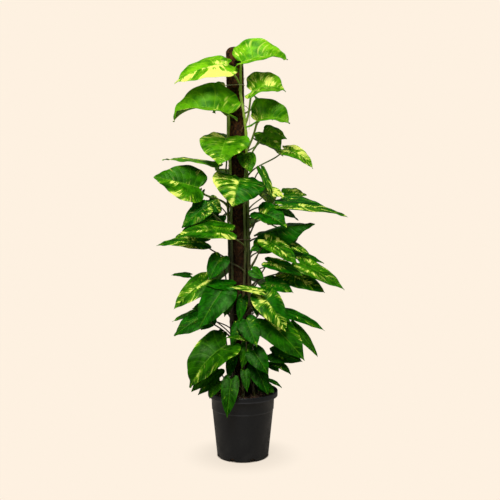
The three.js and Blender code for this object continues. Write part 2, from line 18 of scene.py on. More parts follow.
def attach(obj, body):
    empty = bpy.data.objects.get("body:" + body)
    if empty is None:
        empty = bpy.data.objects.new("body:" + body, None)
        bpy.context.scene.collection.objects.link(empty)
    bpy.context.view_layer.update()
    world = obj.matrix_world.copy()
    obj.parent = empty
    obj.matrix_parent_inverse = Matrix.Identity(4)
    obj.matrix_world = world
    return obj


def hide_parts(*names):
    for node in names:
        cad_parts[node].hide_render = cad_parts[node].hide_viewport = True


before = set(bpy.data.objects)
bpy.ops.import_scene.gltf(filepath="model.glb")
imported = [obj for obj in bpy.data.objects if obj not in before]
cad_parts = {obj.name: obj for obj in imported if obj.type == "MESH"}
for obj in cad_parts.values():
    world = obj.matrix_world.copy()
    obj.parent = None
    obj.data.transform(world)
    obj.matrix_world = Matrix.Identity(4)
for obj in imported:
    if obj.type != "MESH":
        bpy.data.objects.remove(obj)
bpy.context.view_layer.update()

MM = 0.001
BODY = "root"

# ---------------------------------------------------------------- sizes shared with the part, in millimetres

POT = Named(
    height=182, wall=1.5, floor=3, edge=1.5,
    rim_radius=95, rim_depth=15, neck_radius=85.7, foot_radius=70,
    step_radius=83, step_width=1.3, step_height=132,
)
DRAIN = Named(count=8, width=18, height=10, inside=61, outside=78, sides=24)
SOIL = Named(top=165, crown=4)
POLE = Named(radius=22.5, bottom=60, top=1100, dome=16, lean=0.0225, lean_from=150)
STEM = Named(radius=4, top_radius=3.4, depth=60, offset=0.6)
STEM_FOOT = Named(spread=16, bottom=150, top=240)
PETIOLE = Named(radius=1.1, per_width=0.014, reach=0.35, under=0.1, thinning=0.4)
# A leaf stalk leaves its stem upwards and out, and arrives along its blade's upward and forward directions.
PETIOLE_COURSE = Named(out=0.6, up=0.7, forward=0.3, climb=0.5)
BLADE = Named(thickness=0.7, curl=0.18, rib_from=0.12, bow=1.2, soft=0.05)
WAVE = Named(height=0.05, power=2, per_row=2.2, per_side=1.7)

# Half of a leaf's outline, from the stalk round the lobe to the tip, as pairs of a share of the length
# and a share of half the width.
OUTLINE = np.array(
    [[0, 0], [-0.08, 0.2], [-0.13, 0.5], [-0.07, 0.82], [0.1, 1]]
    + [[0.36, 0.95], [0.6, 0.74], [0.78, 0.43], [0.91, 0.16], [1, 0]]
)

# climb: heights and compass angles round the pole (0 is the front, 90 is +X) that a stem passes.
# A leaf: height of its node, stalk end, tip, width, [compass angle, rise] of its upper face,
# [droop, fold, twist] in degrees, and how yellow the halves on its two sides are.
VINES = [
    {"name": "vine_1", "climb": [[100, 50], [870, 72], [985, 26]], "leaves": [
      [985, [-1, -60, 1056], [117, -50, 1062], 122, [5, 50], [56, 38, 0], [0.25, 0.3]],
      [978, [-37, -64, 1050], [-173, -90, 998], 94, [-5, 50], [50, 4, 0], [0.9, 0.2]],
      [900, [25, -63, 982], [112, -63, 980], 116, [-10, 52], [80, 28, 0], [0.65, 0.3]],
      [800, [54, 0, 878], [101, -26, 829], 66, [10, 45], [40, 10, 0], [0.15, 0.15]],
      [700, [49, -20, 781], [77, -35, 706], 42, [55, 15], [20, 10, 0], [0.4, 0.4]],
      [620, [106, -42, 688], [277, -45, 656], 60, [5, 70], [25, 10, 0], [0.5, 0.5]],
      [600, [43, -50, 670], [115, -80, 631], 84, [12, 48], [40, 22, 0], [0.1, 0.1]],
      [510, [62, -42, 596], [145, -78, 531], 62, [10, 50], [30, 14, 0], [0.35, 0.6]],
      [505, [41, -20, 575], [20, -25, 565], 22, [0, 40], [15, 5, 0], [0, 0]],
      [450, [67, -30, 536], [159, -50, 501], 52, [15, 55], [30, 8, 0], [0.4, 0.4]],
      [440, [25, -25, 514], [57, -35, 491], 34, [0, 40], [15, 5, 0], [0, 0]],
      [390, [63, -14, 480], [136, -32, 453], 54, [5, 50], [35, 10, 0], [0.2, 0.2]],
      [290, [60, -38, 384], [164, -80, 280], 98, [15, 35], [30, 12, 0], [0.35, 0.1]],
      [200, [33, -35, 256], [68, -60, 183], 50, [10, 25], [20, 8, 0], [0, 0]],
      [340, [33, -24, 430], [38, -34, 389], 24, [20, 30], [20, 8, 0], [0, 0]],
    ] },
    {"name": "vine_2", "climb": [[100, -55], [850, -40]], "leaves": [
      [850, [-39, -68, 923], [-180, -45, 904], 156, [5, 54], [96, 42, 0], [0.6, 0.2]],
      [800, [-42, -60, 862], [-59, -118, 794], 134, [-8, 40], [30, 14, 0], [0.5, 0.5]],
      [610, [-95, -57, 684], [-158, -66, 629], 56, [-15, 30], [25, 12, 0], [0.25, 0.2]],
      [420, [-25, -44, 475], [-99, -52, 476], 50, [0, 60], [25, 8, 0], [0, 0]],
      [400, [-49, -60, 471], [-113, -100, 369], 88, [-10, 35], [30, 5, 0], [0, 0.05]],
      [250, [-44, -55, 317], [-138, -85, 208], 122, [-12, 48], [70, 26, 0], [0.5, 0.1]],
      [180, [-60, -70, 223], [-88, -80, 178], 36, [-20, 30], [30, 20, 0], [0, 0]],
      [290, [-12, -50, 372], [-28, -68, 314], 30, [-10, 30], [20, 8, 0], [0, 0]],
      [340, [-32, -44, 437], [-48, -58, 393], 26, [-15, 30], [20, 8, 0], [0, 0]],
      [210, [-25, -54, 292], [-38, -76, 229], 32, [-15, 25], [20, 8, 0], [0, 0]],
      [830, [-64, 8, 974], [-74, 58, 928], 64, [268, 18], [20, 12, 0], [0.3, 0.4]],
    ] },
    {"name": "vine_3", "climb": [[100, 95], [830, 110]], "leaves": [
      [830, [38, -45, 904], [123, -60, 898], 126, [-22, 46], [96, 42, 0], [0.35, 0.4]],
      [800, [62, 30, 881], [119, 36, 860], 54, [20, 40], [30, 8, 0], [0.3, 0.3]],
      [760, [110, 0, 834], [185, -30, 782], 58, [30, 40], [64, 10, 0], [0.75, 0.5]],
      [670, [73, -10, 726], [110, -15, 707], 36, [10, 50], [20, 8, 0], [0.9, 0.9]],
      [640, [99, 12, 695], [227, 8, 671], 56, [5, 75], [55, 8, 0], [0.3, 0.3]],
      [650, [84, 2, 678], [149, -6, 644], 48, [5, 72], [30, 8, 0], [0.15, 0.15]],
      [550, [41, 14, 601], [192, -24, 636], 104, [10, 48], [25, -28, 0], [0.25, 0.1]],
      [540, [114, 4, 585], [180, -20, 553], 36, [10, 55], [20, 8, 0], [0.5, 0.5]],
      [460, [153, -20, 532], [271, -40, 462], 60, [20, 45], [25, 8, 0], [0.35, 0.35]],
      [340, [112, 8, 395], [222, -12, 346], 46, [20, 60], [25, 8, 0], [0, 0]],
    ] },
    {"name": "vine_4", "climb": [[100, -100], [740, -95]], "leaves": [
      [740, [-70, -20, 797], [-212, -20, 805], 90, [0, 84], [20, 5, 0], [0.4, 0.4]],
      [680, [-114, -45, 733], [-232, -60, 762], 116, [-5, 37], [15, 18, 0], [0.6, 0.3]],
      [655, [-109, -12, 722], [-138, -20, 660], 24, [-40, 20], [15, 8, 0], [0.1, 0.1]],
      [600, [-89, -8, 699], [-57, -16, 665], 42, [-15, 30], [15, 8, 0], [0.5, 0.5]],
      [530, [-100, -20, 588], [-228, -40, 580], 60, [-5, 62], [30, 6, 20], [0.5, 0.5]],
      [430, [-92, -12, 488], [-183, -45, 411], 68, [-15, 35], [35, 6, 0], [0.5, 0.5]],
      [320, [-103, -25, 390], [-183, -45, 339], 62, [-20, 35], [25, 8, 0], [0.1, 0.1]],
      [190, [-67, -20, 244], [-138, -50, 188], 50, [-20, 30], [30, 8, 0], [0, 0]],
      [250, [-53, -12, 343], [-80, -24, 307], 30, [-20, 30], [20, 8, 0], [0, 0]],
      [735, [-54, 18, 828], [-66, 70, 772], 78, [262, 18], [25, 12, 0], [0.3, 0.2]],
      [410, [-64, 8, 528], [-80, 54, 472], 66, [262, 22], [25, 10, 0], [0.2, 0.2]],
    ] },
    {"name": "vine_5", "climb": [[100, 0], [380, 10], [560, 38], [750, 36]], "leaves": [
      [750, [9, -40, 821], [20, -75, 773], 50, [10, 30], [20, 5, 0], [0.2, 0.2]],
      [690, [-6, -60, 759], [-24, -106, 687], 140, [4, 30], [84, 8, 0], [0.1, 0.62]],
      [560, [-35, -72, 622], [-175, -84, 605], 76, [-5, 55], [50, 10, 0], [0.4, 0.5]],
      [500, [-57, -42, 551], [-88, -64, 492], 58, [-15, 30], [20, 8, 0], [0.1, 0.1]],
      [400, [51, -72, 463], [-34, -76, 475], 30, [0, 60], [15, 10, 0], [0.6, 0.6]],
      [370, [51, -60, 455], [114, -90, 359], 78, [10, 38], [35, 8, 0], [0.15, 0.66]],
      [310, [9, -62, 386], [38, -96, 320], 58, [5, 28], [25, 8, 0], [0.05, 0.05]],
      [250, [27, -58, 303], [68, -85, 245], 54, [10, 22], [25, 6, 0], [0, 0]],
      [180, [-30, -92, 232], [-40, -125, 139], 48, [-5, 25], [30, 14, 0], [0, 0]],
      [350, [1, -52, 444], [-9, -66, 380], 30, [0, 30], [20, 8, 0], [0, 0]],
      [220, [12, -52, 318], [-2, -70, 257], 32, [5, 25], [20, 8, 0], [0, 0]],
      [178, [6, -62, 249], [12, -86, 197], 26, [5, 25], [20, 8, 0], [0, 0]],
      [240, [9, -72, 335], [-46, -84, 342], 16, [0, 60], [40, 10, 0], [0.5, 0.5]],
    ] },
    {"name": "vine_6", "climb": [[100, 175], [940, 175]], "leaves": [
      [940, [-46, 62, 1000], [-118, 112, 966], 92, [218, 46], [28, 12, 0], [0.5, 0.3]],
      [900, [50, 64, 962], [82, 142, 912], 80, [120, 30], [25, 10, 0], [0.3, 0.5]],
      [820, [-36, 70, 870], [-80, 170, 826], 100, [202, 42], [35, 14, 0], [0.2, 0.5]],
      [800, [50, 58, 858], [112, 124, 812], 66, [130, 38], [25, 8, 0], [0.3, 0.3]],
      [710, [-24, 76, 776], [-56, 186, 746], 86, [186, 60], [35, 10, 8], [0.5, 0.4]],
      [690, [44, 66, 742], [78, 158, 664], 76, [146, 28], [30, 12, 0], [0.2, 0.4]],
      [170, [0, 75, 220], [-10, 150, 190], 50, [180, 50], [30, 8, 0], [0.1, 0.1]],
      [590, [4, 78, 642], [16, 180, 602], 72, [176, 44], [28, 12, 0], [0.3, 0.3]],
    ] },
    {"name": "vine_7", "climb": [[100, 135], [700, 145]], "leaves": [
      [650, [113, 66, 711], [175, 66, 708], 66, [0, 58], [20, 6, 0], [0.5, 0.5]],
      [570, [95, 72, 620], [148, 142, 568], 84, [128, 34], [30, 10, 0], [0.4, 0.3]],
      [480, [127, 28, 552], [221, 25, 525], 40, [10, 60], [20, 8, 0], [0, 0]],
      [430, [44, 62, 478], [74, 162, 416], 70, [152, 32], [30, 8, 0], [0.3, 0.2]],
      [420, [112, 18, 505], [221, -12, 450], 72, [10, 43], [25, 6, 0], [0.5, 0.45]],
      [340, [50, 60, 392], [118, 150, 308], 92, [142, 28], [30, 12, 0], [0.2, 0.2]],
      [300, [136, 5, 357], [204, 0, 272], 38, [40, 20], [25, 8, 0], [0, 0]],
      [220, [50, 50, 274], [104, 138, 208], 74, [134, 30], [30, 10, 0], [0.1, 0.1]],
      [220, [79, -20, 288], [161, -40, 268], 58, [10, 46], [25, 8, 0], [0, 0]],
      [210, [87, -25, 261], [130, -30, 230], 26, [10, 50], [60, 20, 0], [0.2, 0.2]],
      [200, [74, -5, 260], [98, -10, 233], 30, [10, 50], [15, 5, 0], [0, 0]],
      [180, [71, -15, 212], [106, -20, 191], 18, [0, 70], [40, 10, 0], [0, 0]],
      [175, [52, -25, 200], [84, -50, 187], 40, [10, 50], [15, 5, 0], [0, 0]],
    ] },
    {"name": "vine_8", "climb": [[100, -140], [640, -140]], "leaves": [
      [590, [-66, 28, 656], [-178, 22, 593], 60, [-20, 30], [25, 8, 0], [0, 0]],
      [600, [-60, 50, 652], [-124, 124, 588], 92, [228, 32], [30, 12, 0], [0.3, 0.4]],
      [470, [-34, 74, 520], [-82, 172, 446], 84, [206, 32], [30, 10, 0], [0.3, 0.2]],
      [430, [-143, 25, 493], [-195, 25, 493], 30, [0, 70], [20, 8, 0], [0, 0]],
      [370, [-97, 16, 410], [-137, 8, 403], 30, [-10, 40], [20, 8, 0], [0.1, 0.1]],
      [350, [-52, 58, 404], [-114, 148, 322], 92, [222, 28], [30, 12, 0], [0.2, 0.1]],
      [330, [-116, 5, 398], [-191, 0, 369], 40, [0, 75], [20, 8, 0], [0.1, 0.1]],
      [310, [-87, 20, 379], [-114, 12, 344], 46, [0, 40], [20, 8, 0], [0, 0]],
      [230, [-42, 60, 284], [-84, 156, 222], 82, [204, 40], [30, 10, 0], [0.1, 0.2]],
      [170, [-78, -10, 211], [-121, -25, 173], 30, [-10, 30], [25, 8, 0], [0, 0]],
    ] },
]

# ---------------------------------------------------------------- sizes of the fine detail, in millimetres

GRID = Named(rows=52, small_rows=34, large_from=72)
RATIOS = np.array([0, 0.025, 0.06, 0.12, 0.2, 0.3, 0.41, 0.52, 0.63, 0.74, 0.84, 0.92, 0.975, 1])
VEIN = Named(count=8.5, sweep=0.45, bend=1.3, fan=0.6, fan_from=-0.1, fan_to=0.85)
QUILT = Named(height=0.6, rises_to=0.12, fades_from=0.8)
RIB = Named(width=1.6, at_stalk=1.1, taper=0.8, least=0.3, groove=0.55, ridge=1.0, fading=0.7)
RIPPLE = Named(height=0.022, power=4, per_row=5.1, per_side=2.0)
STALK = Named(sides=12, steps=26, groove=0.24, groove_width=0.55, yellow=0.5)
SHEATH = Named(swelling=0.45, share=0.3)
KNEE = Named(swelling=0.2, at=0.95, length=0.04)
STALK_END = Named(steps=4, start=0.25, radius=0.9)
NODE = Named(swelling=0.2, length=4, spacing=46)
STEM_RING = Named(sides=16, step=2.5, tip=[0.85, 0.6, 0.25])
ROOT = Named(radius=0.8, tip=0.4, varies=(0.7, 1.1), per_node=3, sides=6, steps=9)
ROOT_PATH = Named(length=(12, 38), start=8, sweep=(10, 55), drift=1.4, off=1.4, arch=1.6)
FREE_ROOT = Named(vine="vine_1", height=946, path=[[20, -14, 950], [21, -10, 918], [17, -9, 884]], steps=16)
TIE = Named(steps=480, twists=46, rounding=12, inset=0.4, strand=0.62, lay=0.5, around=7)
COIR = Named(sides=84, inset=0.4, step=5.0, relief=0.8, lumps=[(0.09, 1.0), (0.25, 0.6)])
FIBRE = Named(count=2600, length=(14, 46), radius=(0.12, 0.3), sides=3, steps=6)
FIBRE_LIE = Named(above_bottom=90, below_top=8, slope=0.75, bend=0.5, lift=2.2)
FLAT_FIBRE = Named(share=0.8, lift=0.25)
POT_MESH = Named(sides=160, weld=0.01)
EARTH = Named(sides=96, rings=26, gap=0.3, lumps=[(0.12, 1.6), (0.4, 0.9)])
LITTER = Named(margin=4, pile=1.6, dents=(0.72, 1.2), slimness=(0.6, 1))
CRUMB = Named(count=1500, size=(0.9, 3.4), flatness=0.8)
CHIP = Named(count=170, size=(3, 8), flatness=0.35)
PERLITE = Named(count=26, size=(1.2, 2.4), flatness=0.9)
SHARP_DEGREES = Named(blade=60, pot=40)

# Heights between which stems and leaves go from old to fresh, and from barked to smooth.
STEM_AGE = Named(fresh=(500, 1000), bark=(420, 780), most_bark=0.9, yellow=0.4)
LEAF_AGE = Named(fresh=(640, 1010), bark=(380, 760), varies=(-0.1, 0.15))

# ---------------------------------------------------------------- looks

# Noise drawn out along the side veins: changes per leaf length, changes per half width, detail.
PATTERNS = {
    "sector": (2.8, 1.5, 1.0),
    "streak": (15.0, 1.1, 2.0),
    "feather": (58.0, 3.0, 2.0),
    "stroke": (30.0, 1.4, 1.0),
    "fleck": (95.0, 16.0, 1.0),
}
# A leaf turns cream where its weighted patterns pass a limit. The yellower its half is, the lower the limit.
WEIGHTS = {"sector": 0.9, "streak": 0.62, "feather": 0.48}
MARBLING = Named(limit=1.31, per_yellow=-0.42, lime_from=-0.13, cream_to=0.035)
# How far apart the patterns of two halves and of two leaves lie in the noise.
SEED_STEP = Named(side=3.7, leaf=41.0)

# Colours are red, green, blue and opacity, in linear light.
LEAF_COLOURS = Named(
    old_deep=(0.0018, 0.032, 0.0004, 1),
    new_deep=(0.028, 0.17, 0.001, 1),
    old_light=(0.008, 0.125, 0.001, 1),
    new_light=(0.16, 0.46, 0.004, 1),
    old_vein=(0.035, 0.22, 0.004, 1),
    new_vein=(0.32, 0.58, 0.012, 1),
    lime=(0.2, 0.46, 0.008, 1),
    cream=(0.72, 0.82, 0.15, 1),
    rib=(0.2, 0.48, 0.02, 1),
    underside=(0.06, 0.17, 0.012, 1),
    sheen=(0.5, 1.0, 0.3, 1),
)
STALK_COLOURS = Named(
    old=(0.012, 0.055, 0.002, 1),
    new=(0.28, 0.50, 0.03, 1),
    streak=(0.45, 0.58, 0.08, 1),
    yellow=(0.6, 0.66, 0.2, 1),
    dark_bark=(0.03, 0.018, 0.005, 1),
    bark=(0.075, 0.06, 0.016, 1),
)
PLASTIC_COLOURS = Named(
    black=(0.004, 0.0052, 0.0074, 1),
    dust=(0.036, 0.035, 0.032, 1),
    scuff=(0.045, 0.046, 0.05, 1),
    # The last colour is a painted highlight for the step and rim edges.
    worn=(0.04, 0.043, 0.05, 1),
)
# The dark and the light colour of every material that has only two.
SHADES = {
    "aerial_root": [(0.035, 0.02, 0.008, 1), (0.2, 0.13, 0.05, 1)],
    "coir": [(0.013, 0.0055, 0.0012, 1), (0.11, 0.04, 0.008, 1)],
    "potting_mix": [(0.012, 0.008, 0.006, 1), (0.06, 0.035, 0.02, 1)],
    "bark_chips": [(0.03, 0.014, 0.007, 1), (0.12, 0.06, 0.03, 1)],
    "perlite": [(0.45, 0.42, 0.38, 1), (0.7, 0.68, 0.62, 1)],
    "twine": [(0.42, 0.34, 0.19, 1), (0.72, 0.66, 0.46, 1)],
    "old_twine": [(0.05, 0.035, 0.02, 1), (0.14, 0.1, 0.055, 1)],
    "stake_wood": [(0.28, 0.16, 0.07, 1), (0.48, 0.31, 0.15, 1)],
}

# The camera's place in metres, its tilt in degrees, its focal length and picture width in pixels, and its
# sensor in millimetres. The floor and the lamps are in metres too.
CAMERA = Named(place=(0.0196, -2.550, 0.846), down=6.3, focal=957, picture=500, sensor=36.0)
CREAM = (0.991, 0.880, 0.753, 1)
FLOOR = Named(reach=30.0, drop=0.0005, colour=(0.4, 0.36, 0.31, 1))
AIR = Named(colour=(1.0, 0.97, 0.93, 1), strength=0.1)

# Name, place, height on the axis that it points at, size, watts, colour, and whether it leaves highlights.
# The back lamps leave none, because theirs put a grey sheen on leaves that are seen from the side.
LAMPS = [
    ("top", (-0.3, -1.8, 2.6), 0.85, 1.2, 78, (1.0, 0.98, 0.93), True),
    ("left", (-1.9, -1.1, 1.3), 0.6, 0.8, 7, (1.0, 0.98, 0.95), True),
    ("right", (1.9, -1.1, 1.2), 0.6, 0.8, 5, (1.0, 0.98, 0.95), True),
    ("back_left", (-1.5, 1.6, 1.7), 0.6, 1.0, 24, (1, 1, 1), False),
    ("back_right", (1.6, 1.5, 1.5), 0.6, 1.0, 24, (1, 1, 1), False),
]

random = np.random.default_rng(20)


# ---------------------------------------------------------------- node trees


class Shader:
    """A material or world whose nodes are added one call at a time."""

    def __init__(self, owner):
        owner.use_nodes = True
        self.owner = owner
        self.tree = owner.node_tree
        self.tree.nodes.clear()

    def add(self, kind, inputs=None, **settings):
        """A node whose inputs are set to values or linked to other nodes' outputs."""
        node = self.tree.nodes.new(kind)
        for name, value in settings.items():
            setattr(node, name, value)
        for name, value in (inputs or {}).items():
            if isinstance(value, bpy.types.NodeSocket):
                self.tree.links.new(value, node.inputs[name])
            else:
                node.inputs[name].default_value = value
        return node

    def math(self, operation, first, second=0.0, third=0.0):
        inputs = {0: first, 1: second, 2: third}
        return self.add("ShaderNodeMath", inputs, operation=operation).outputs[0]

    def times(self, first, second):
        return self.math("MULTIPLY", first, second)

    def smooth(self, value, low, high, to_low=0.0, to_high=1.0):
        """Eases from to_low to to_high while the value goes from low to high."""
        inputs = {"Value": value, "From Min": low, "From Max": high, "To Min": to_low, "To Max": to_high}
        return self.add("ShaderNodeMapRange", inputs, interpolation_type="SMOOTHSTEP").outputs[0]

    def mix(self, factor, first, second, blend="MIX"):
        """Mixes two colours. A mix node has its colours on inputs 6 and 7 and the result on output 2."""
        inputs = {0: factor, 6: first, 7: second}
        return self.add("ShaderNodeMix", inputs, data_type="RGBA", blend_type=blend).outputs[2]

    def vector(self, x, y, z):
        return self.add("ShaderNodeCombineXYZ", {"X": x, "Y": y, "Z": z}).outputs[0]

    def parts(self, vector):
        node = self.add("ShaderNodeSeparateXYZ", {"Vector": vector})
        return node.outputs[0], node.outputs[1], node.outputs[2]

    def attribute(self, name):
        """The three parts of a vector that the mesh stores at its points."""
        return self.parts(self.add("ShaderNodeAttribute", attribute_name=name).outputs["Vector"])

    def place(self):
        """Where a point is on its object, in metres."""
        return self.add("ShaderNodeTexCoord").outputs["Object"]

    def stretched(self, vector, factors):
        """A vector with each part times a factor of its own."""
        return self.vector(*(self.times(part, factor) for part, factor in zip(self.parts(vector), factors)))

    def noise(self, vector, scale=1.0, detail=2.0, roughness=0.5):
        inputs = {"Vector": vector, "Scale": scale, "Detail": detail, "Roughness": roughness}
        return self.add("ShaderNodeTexNoise", inputs).outputs[0]

    def bump(self, height, distance, strength):
        inputs = {"Height": height, "Distance": distance, "Strength": strength}
        return self.add("ShaderNodeBump", inputs).outputs[0]

    def principled(self, **inputs):
        """Ends a material with a surface whose inputs are named with underscores, and returns it."""
        named = {name.replace("_", " "): value for name, value in inputs.items()}
        surface = self.add("ShaderNodeBsdfPrincipled", named)
        self.add("ShaderNodeOutputMaterial", {"Surface": surface.outputs[0]})
        return self.owner


def leaf_material():
    """Waxy green with cream streaks that follow the side veins. It reads each leaf's own place and look."""
    s = Shader(bpy.data.materials.new("foliage"))
    along, across, seed = s.attribute("place")
    yellow, fresh, under = s.attribute("look")
    spread = s.math("ABSOLUTE", across)
    fan = s.smooth(along, VEIN.fan_from, VEIN.fan_to, VEIN.fan, 0.0)
    sweep = s.math("SUBTRACT", VEIN.sweep, fan)
    vein = s.math("SUBTRACT", along, s.times(s.math("POWER", spread, VEIN.bend), sweep))
    leaf_seed = s.times(seed, SEED_STEP.leaf)
    side_seed = s.math("MULTIPLY_ADD", s.math("SIGN", across), SEED_STEP.side, leaf_seed)

    def spot(lengthwise, outwards, per_length, per_width):
        """A place on this half of this leaf, stretched for a pattern."""
        return s.vector(s.times(lengthwise, per_length), s.times(outwards, per_width), side_seed)

    pattern = {}
    for name, (per_length, per_width, detail) in PATTERNS.items():
        pattern[name] = s.noise(spot(vein, spread, per_length, per_width), 1.0, detail, 0.6)
    amount = 0.0
    for name, weight in WEIGHTS.items():
        amount = s.math("MULTIPLY_ADD", pattern[name], weight, amount)
    limit = s.math("MULTIPLY_ADD", yellow, MARBLING.per_yellow, MARBLING.limit)
    excess = s.math("SUBTRACT", amount, limit)
    lime = s.smooth(excess, MARBLING.lime_from, 0.0)
    cream = s.smooth(excess, 0.0, MARBLING.cream_to)
    speckled = s.times(s.smooth(yellow, 0.0, 0.35), s.smooth(pattern["sector"], 0.42, 0.6))
    speck = s.times(s.smooth(pattern["fleck"], 0.68, 0.73), speckled)
    thin = s.times(s.smooth(pattern["stroke"], 0.6, 0.7), speckled)
    cream = s.math("MAXIMUM", cream, s.times(s.math("MAXIMUM", speck, thin), 0.7))

    tone = LEAF_COLOURS
    wander = s.noise(spot(along, across, 5.0, 3.0), 1.0, 4.0)
    deep = s.mix(fresh, tone.old_deep, tone.new_deep)
    light = s.mix(fresh, tone.old_light, tone.new_light)
    green = s.mix(s.smooth(wander, 0.3, 0.7), deep, light)
    # Painted shade and light: the green is darker low in the plant and brighter high up, by the height of
    # each point.
    painted_height_shade = s.smooth(s.parts(s.place())[2], 0.15, 0.5, 0.62, 1.15)
    green = s.mix(1.0, green, s.vector(painted_height_shade, painted_height_shade, painted_height_shade), "MULTIPLY")
    phase = s.math("PINGPONG", s.times(vein, VEIN.count), 0.5)
    line = s.times(s.smooth(phase, 0.0, 0.09, 1.0, 0.0), s.math("MULTIPLY_ADD", fresh, 0.25, 0.28))
    green = s.mix(line, green, s.mix(fresh, tone.old_vein, tone.new_vein))
    colour = s.mix(s.times(lime, 0.6), green, tone.lime)
    colour = s.mix(cream, colour, tone.cream)
    rib = s.times(s.smooth(spread, 0.012, 0.045, 1.0, 0.0), s.math("MULTIPLY_ADD", fresh, 0.3, 0.18))
    colour = s.mix(rib, colour, tone.rib)
    colour = s.mix(s.times(under, 0.45), colour, tone.underside)

    gloss = s.noise(spot(along, across, 16.0, 9.0), 1.0, 3.0)
    cell = {"Vector": spot(vein, across, 44.0, 17.0)}
    net = s.add("ShaderNodeTexVoronoi", cell, feature="DISTANCE_TO_EDGE").outputs[0]
    height = s.math("MULTIPLY_ADD", s.smooth(phase, 0.0, 0.2), 0.6, s.times(s.smooth(net, 0.0, 0.2), 0.08))
    return s.principled(
        Base_Color=colour,
        Roughness=s.math("MULTIPLY_ADD", under, 0.2, s.smooth(gloss, 0.25, 0.75, 0.26, 0.42)),
        Normal=s.bump(height, 0.4 * MM, 0.7),
        Specular_IOR_Level=0.12,
        Specular_Tint=tone.sheen,
        Subsurface_Weight=0.12,
        Subsurface_Radius=(0.6, 1.0, 0.1),
        Subsurface_Scale=1.2 * MM,
    )


def stalk_material():
    """Leaf stalks and stems: yellow-green while fresh, olive brown when old, with fine lengthwise streaks."""
    s = Shader(bpy.data.materials.new("stalk"))
    along, around, seed = s.attribute("place")
    yellow, fresh, bark = s.attribute("look")
    tone = STALK_COLOURS
    streak = s.noise(s.vector(s.times(along, 0.02), s.times(around, 9.0), seed), 1.0, 3.0)
    patch = s.noise(s.vector(s.times(along, 0.06), around, seed), 1.0, 4.0)
    green = s.mix(fresh, tone.old, tone.new)
    pale = s.times(s.smooth(streak, 0.45, 0.75, 0.0, 0.6), s.math("MULTIPLY_ADD", fresh, 0.8, 0.1))
    green = s.mix(pale, green, tone.streak)
    colour = s.mix(s.times(yellow, s.smooth(patch, 0.4, 0.6)), green, tone.yellow)
    brown = s.mix(s.smooth(patch, 0.35, 0.65), tone.dark_bark, tone.bark)
    colour = s.mix(s.times(bark, s.smooth(patch, 0.25, 0.55, 0.5, 1.0)), colour, brown)
    return s.principled(
        Base_Color=colour,
        Roughness=s.smooth(patch, 0.3, 0.7, 0.36, 0.55),
        Normal=s.bump(streak, 0.5 * MM, 0.6),
        Subsurface_Weight=0.08,
        Subsurface_Radius=(0.6, 1.0, 0.2),
        Subsurface_Scale=1.5 * MM,
    )


def fibrous_material(name):
    """Coir and roots: the colour wanders from strand to strand, and is darker low down, as painted shade."""
    s = Shader(bpy.data.materials.new(name))
    dark, light = SHADES[name]
    place = s.place()
    wander = s.noise(place, 150.0, 3.0)
    grain = s.noise(place, 900.0, 2.0)
    # Painted shade: the light tone is held back low down, so the lower pole and roots look darker.
    painted_shade_by_height = s.smooth(s.parts(place)[2], 0.45, 1.05, 0.3, 1.0)
    colour = s.mix(s.times(s.smooth(wander, 0.35, 0.68), painted_shade_by_height), dark, light)
    colour = s.mix(s.smooth(grain, 0.5, 0.8, 0.0, 0.6), colour, dark)
    return s.principled(
        Base_Color=colour,
        Roughness=s.smooth(grain, 0.2, 0.8, 0.75, 0.95),
        Specular_IOR_Level=0.2,
        Normal=s.bump(grain, 1.2 * MM, 0.8),
    )


def plastic_material():
    """Black moulded plastic: a fine grain, faint scuffs, painted highlights along the step and rim edges, and
    dust towards the foot.
    """
    s = Shader(bpy.data.materials.new("pot_plastic"))
    tone = PLASTIC_COLOURS
    place = s.place()
    height = s.parts(place)[2]
    grain = s.noise(place, 2600.0, 2.0)
    cloud = s.noise(place, 26.0, 5.0)
    scuff = s.noise(s.stretched(place, (60.0, 60.0, 420.0)), 1.0, 4.0)
    dust = s.times(s.smooth(cloud, 0.48, 0.72), s.smooth(height, 0.0, 0.09, 1.0, 0.15))
    colour = s.mix(s.times(dust, 0.4), tone.black, tone.dust)
    colour = s.mix(s.smooth(scuff, 0.66, 0.78, 0.0, 0.3), colour, tone.scuff)
    # Painted highlight: a lighter band along the edge of the step and under the lower lip of the rim.
    edges = [POT.step_height + 0.5, POT.height - POT.rim_depth + 2]
    off_step, off_rim = (s.math("ABSOLUTE", s.math("SUBTRACT", height, edge * MM)) for edge in edges)
    worn = s.smooth(s.math("MINIMUM", off_step, off_rim), 0.8 * MM, 2.4 * MM, 1.0, 0.0)
    worn = s.times(worn, s.smooth(cloud, 0.3, 0.6, 0.35, 1.0))
    colour = s.mix(s.times(worn, 0.7), colour, tone.worn)
    return s.principled(
        Base_Color=colour,
        Roughness=s.math("ADD", s.smooth(cloud, 0.3, 0.7, 0.36, 0.5), s.times(dust, 0.3)),
        Specular_IOR_Level=0.36,
        Normal=s.bump(grain, 0.15 * MM, 0.5),
    )


def earth_material(name):
    """Potting mix and what lies on it: matt and crumbly, in clods of two tones."""
    s = Shader(bpy.data.materials.new(name))
    clod = s.noise(s.place(), 160.0, 4.0)
    grain = s.noise(s.place(), 1400.0, 3.0)
    colour = s.mix(s.smooth(clod, 0.35, 0.7), *SHADES[name])
    return s.principled(Base_Color=colour, Roughness=0.92, Normal=s.bump(grain, 0.8 * MM, 0.9))


def twine_material(name):
    """Hemp twine with fine fibres."""
    s = Shader(bpy.data.materials.new(name))
    grain = s.noise(s.place(), 1500.0, 3.0)
    colour = s.mix(s.smooth(grain, 0.35, 0.65), *SHADES[name])
    return s.principled(Base_Color=colour, Roughness=0.7, Normal=s.bump(grain, 0.3 * MM, 0.8))


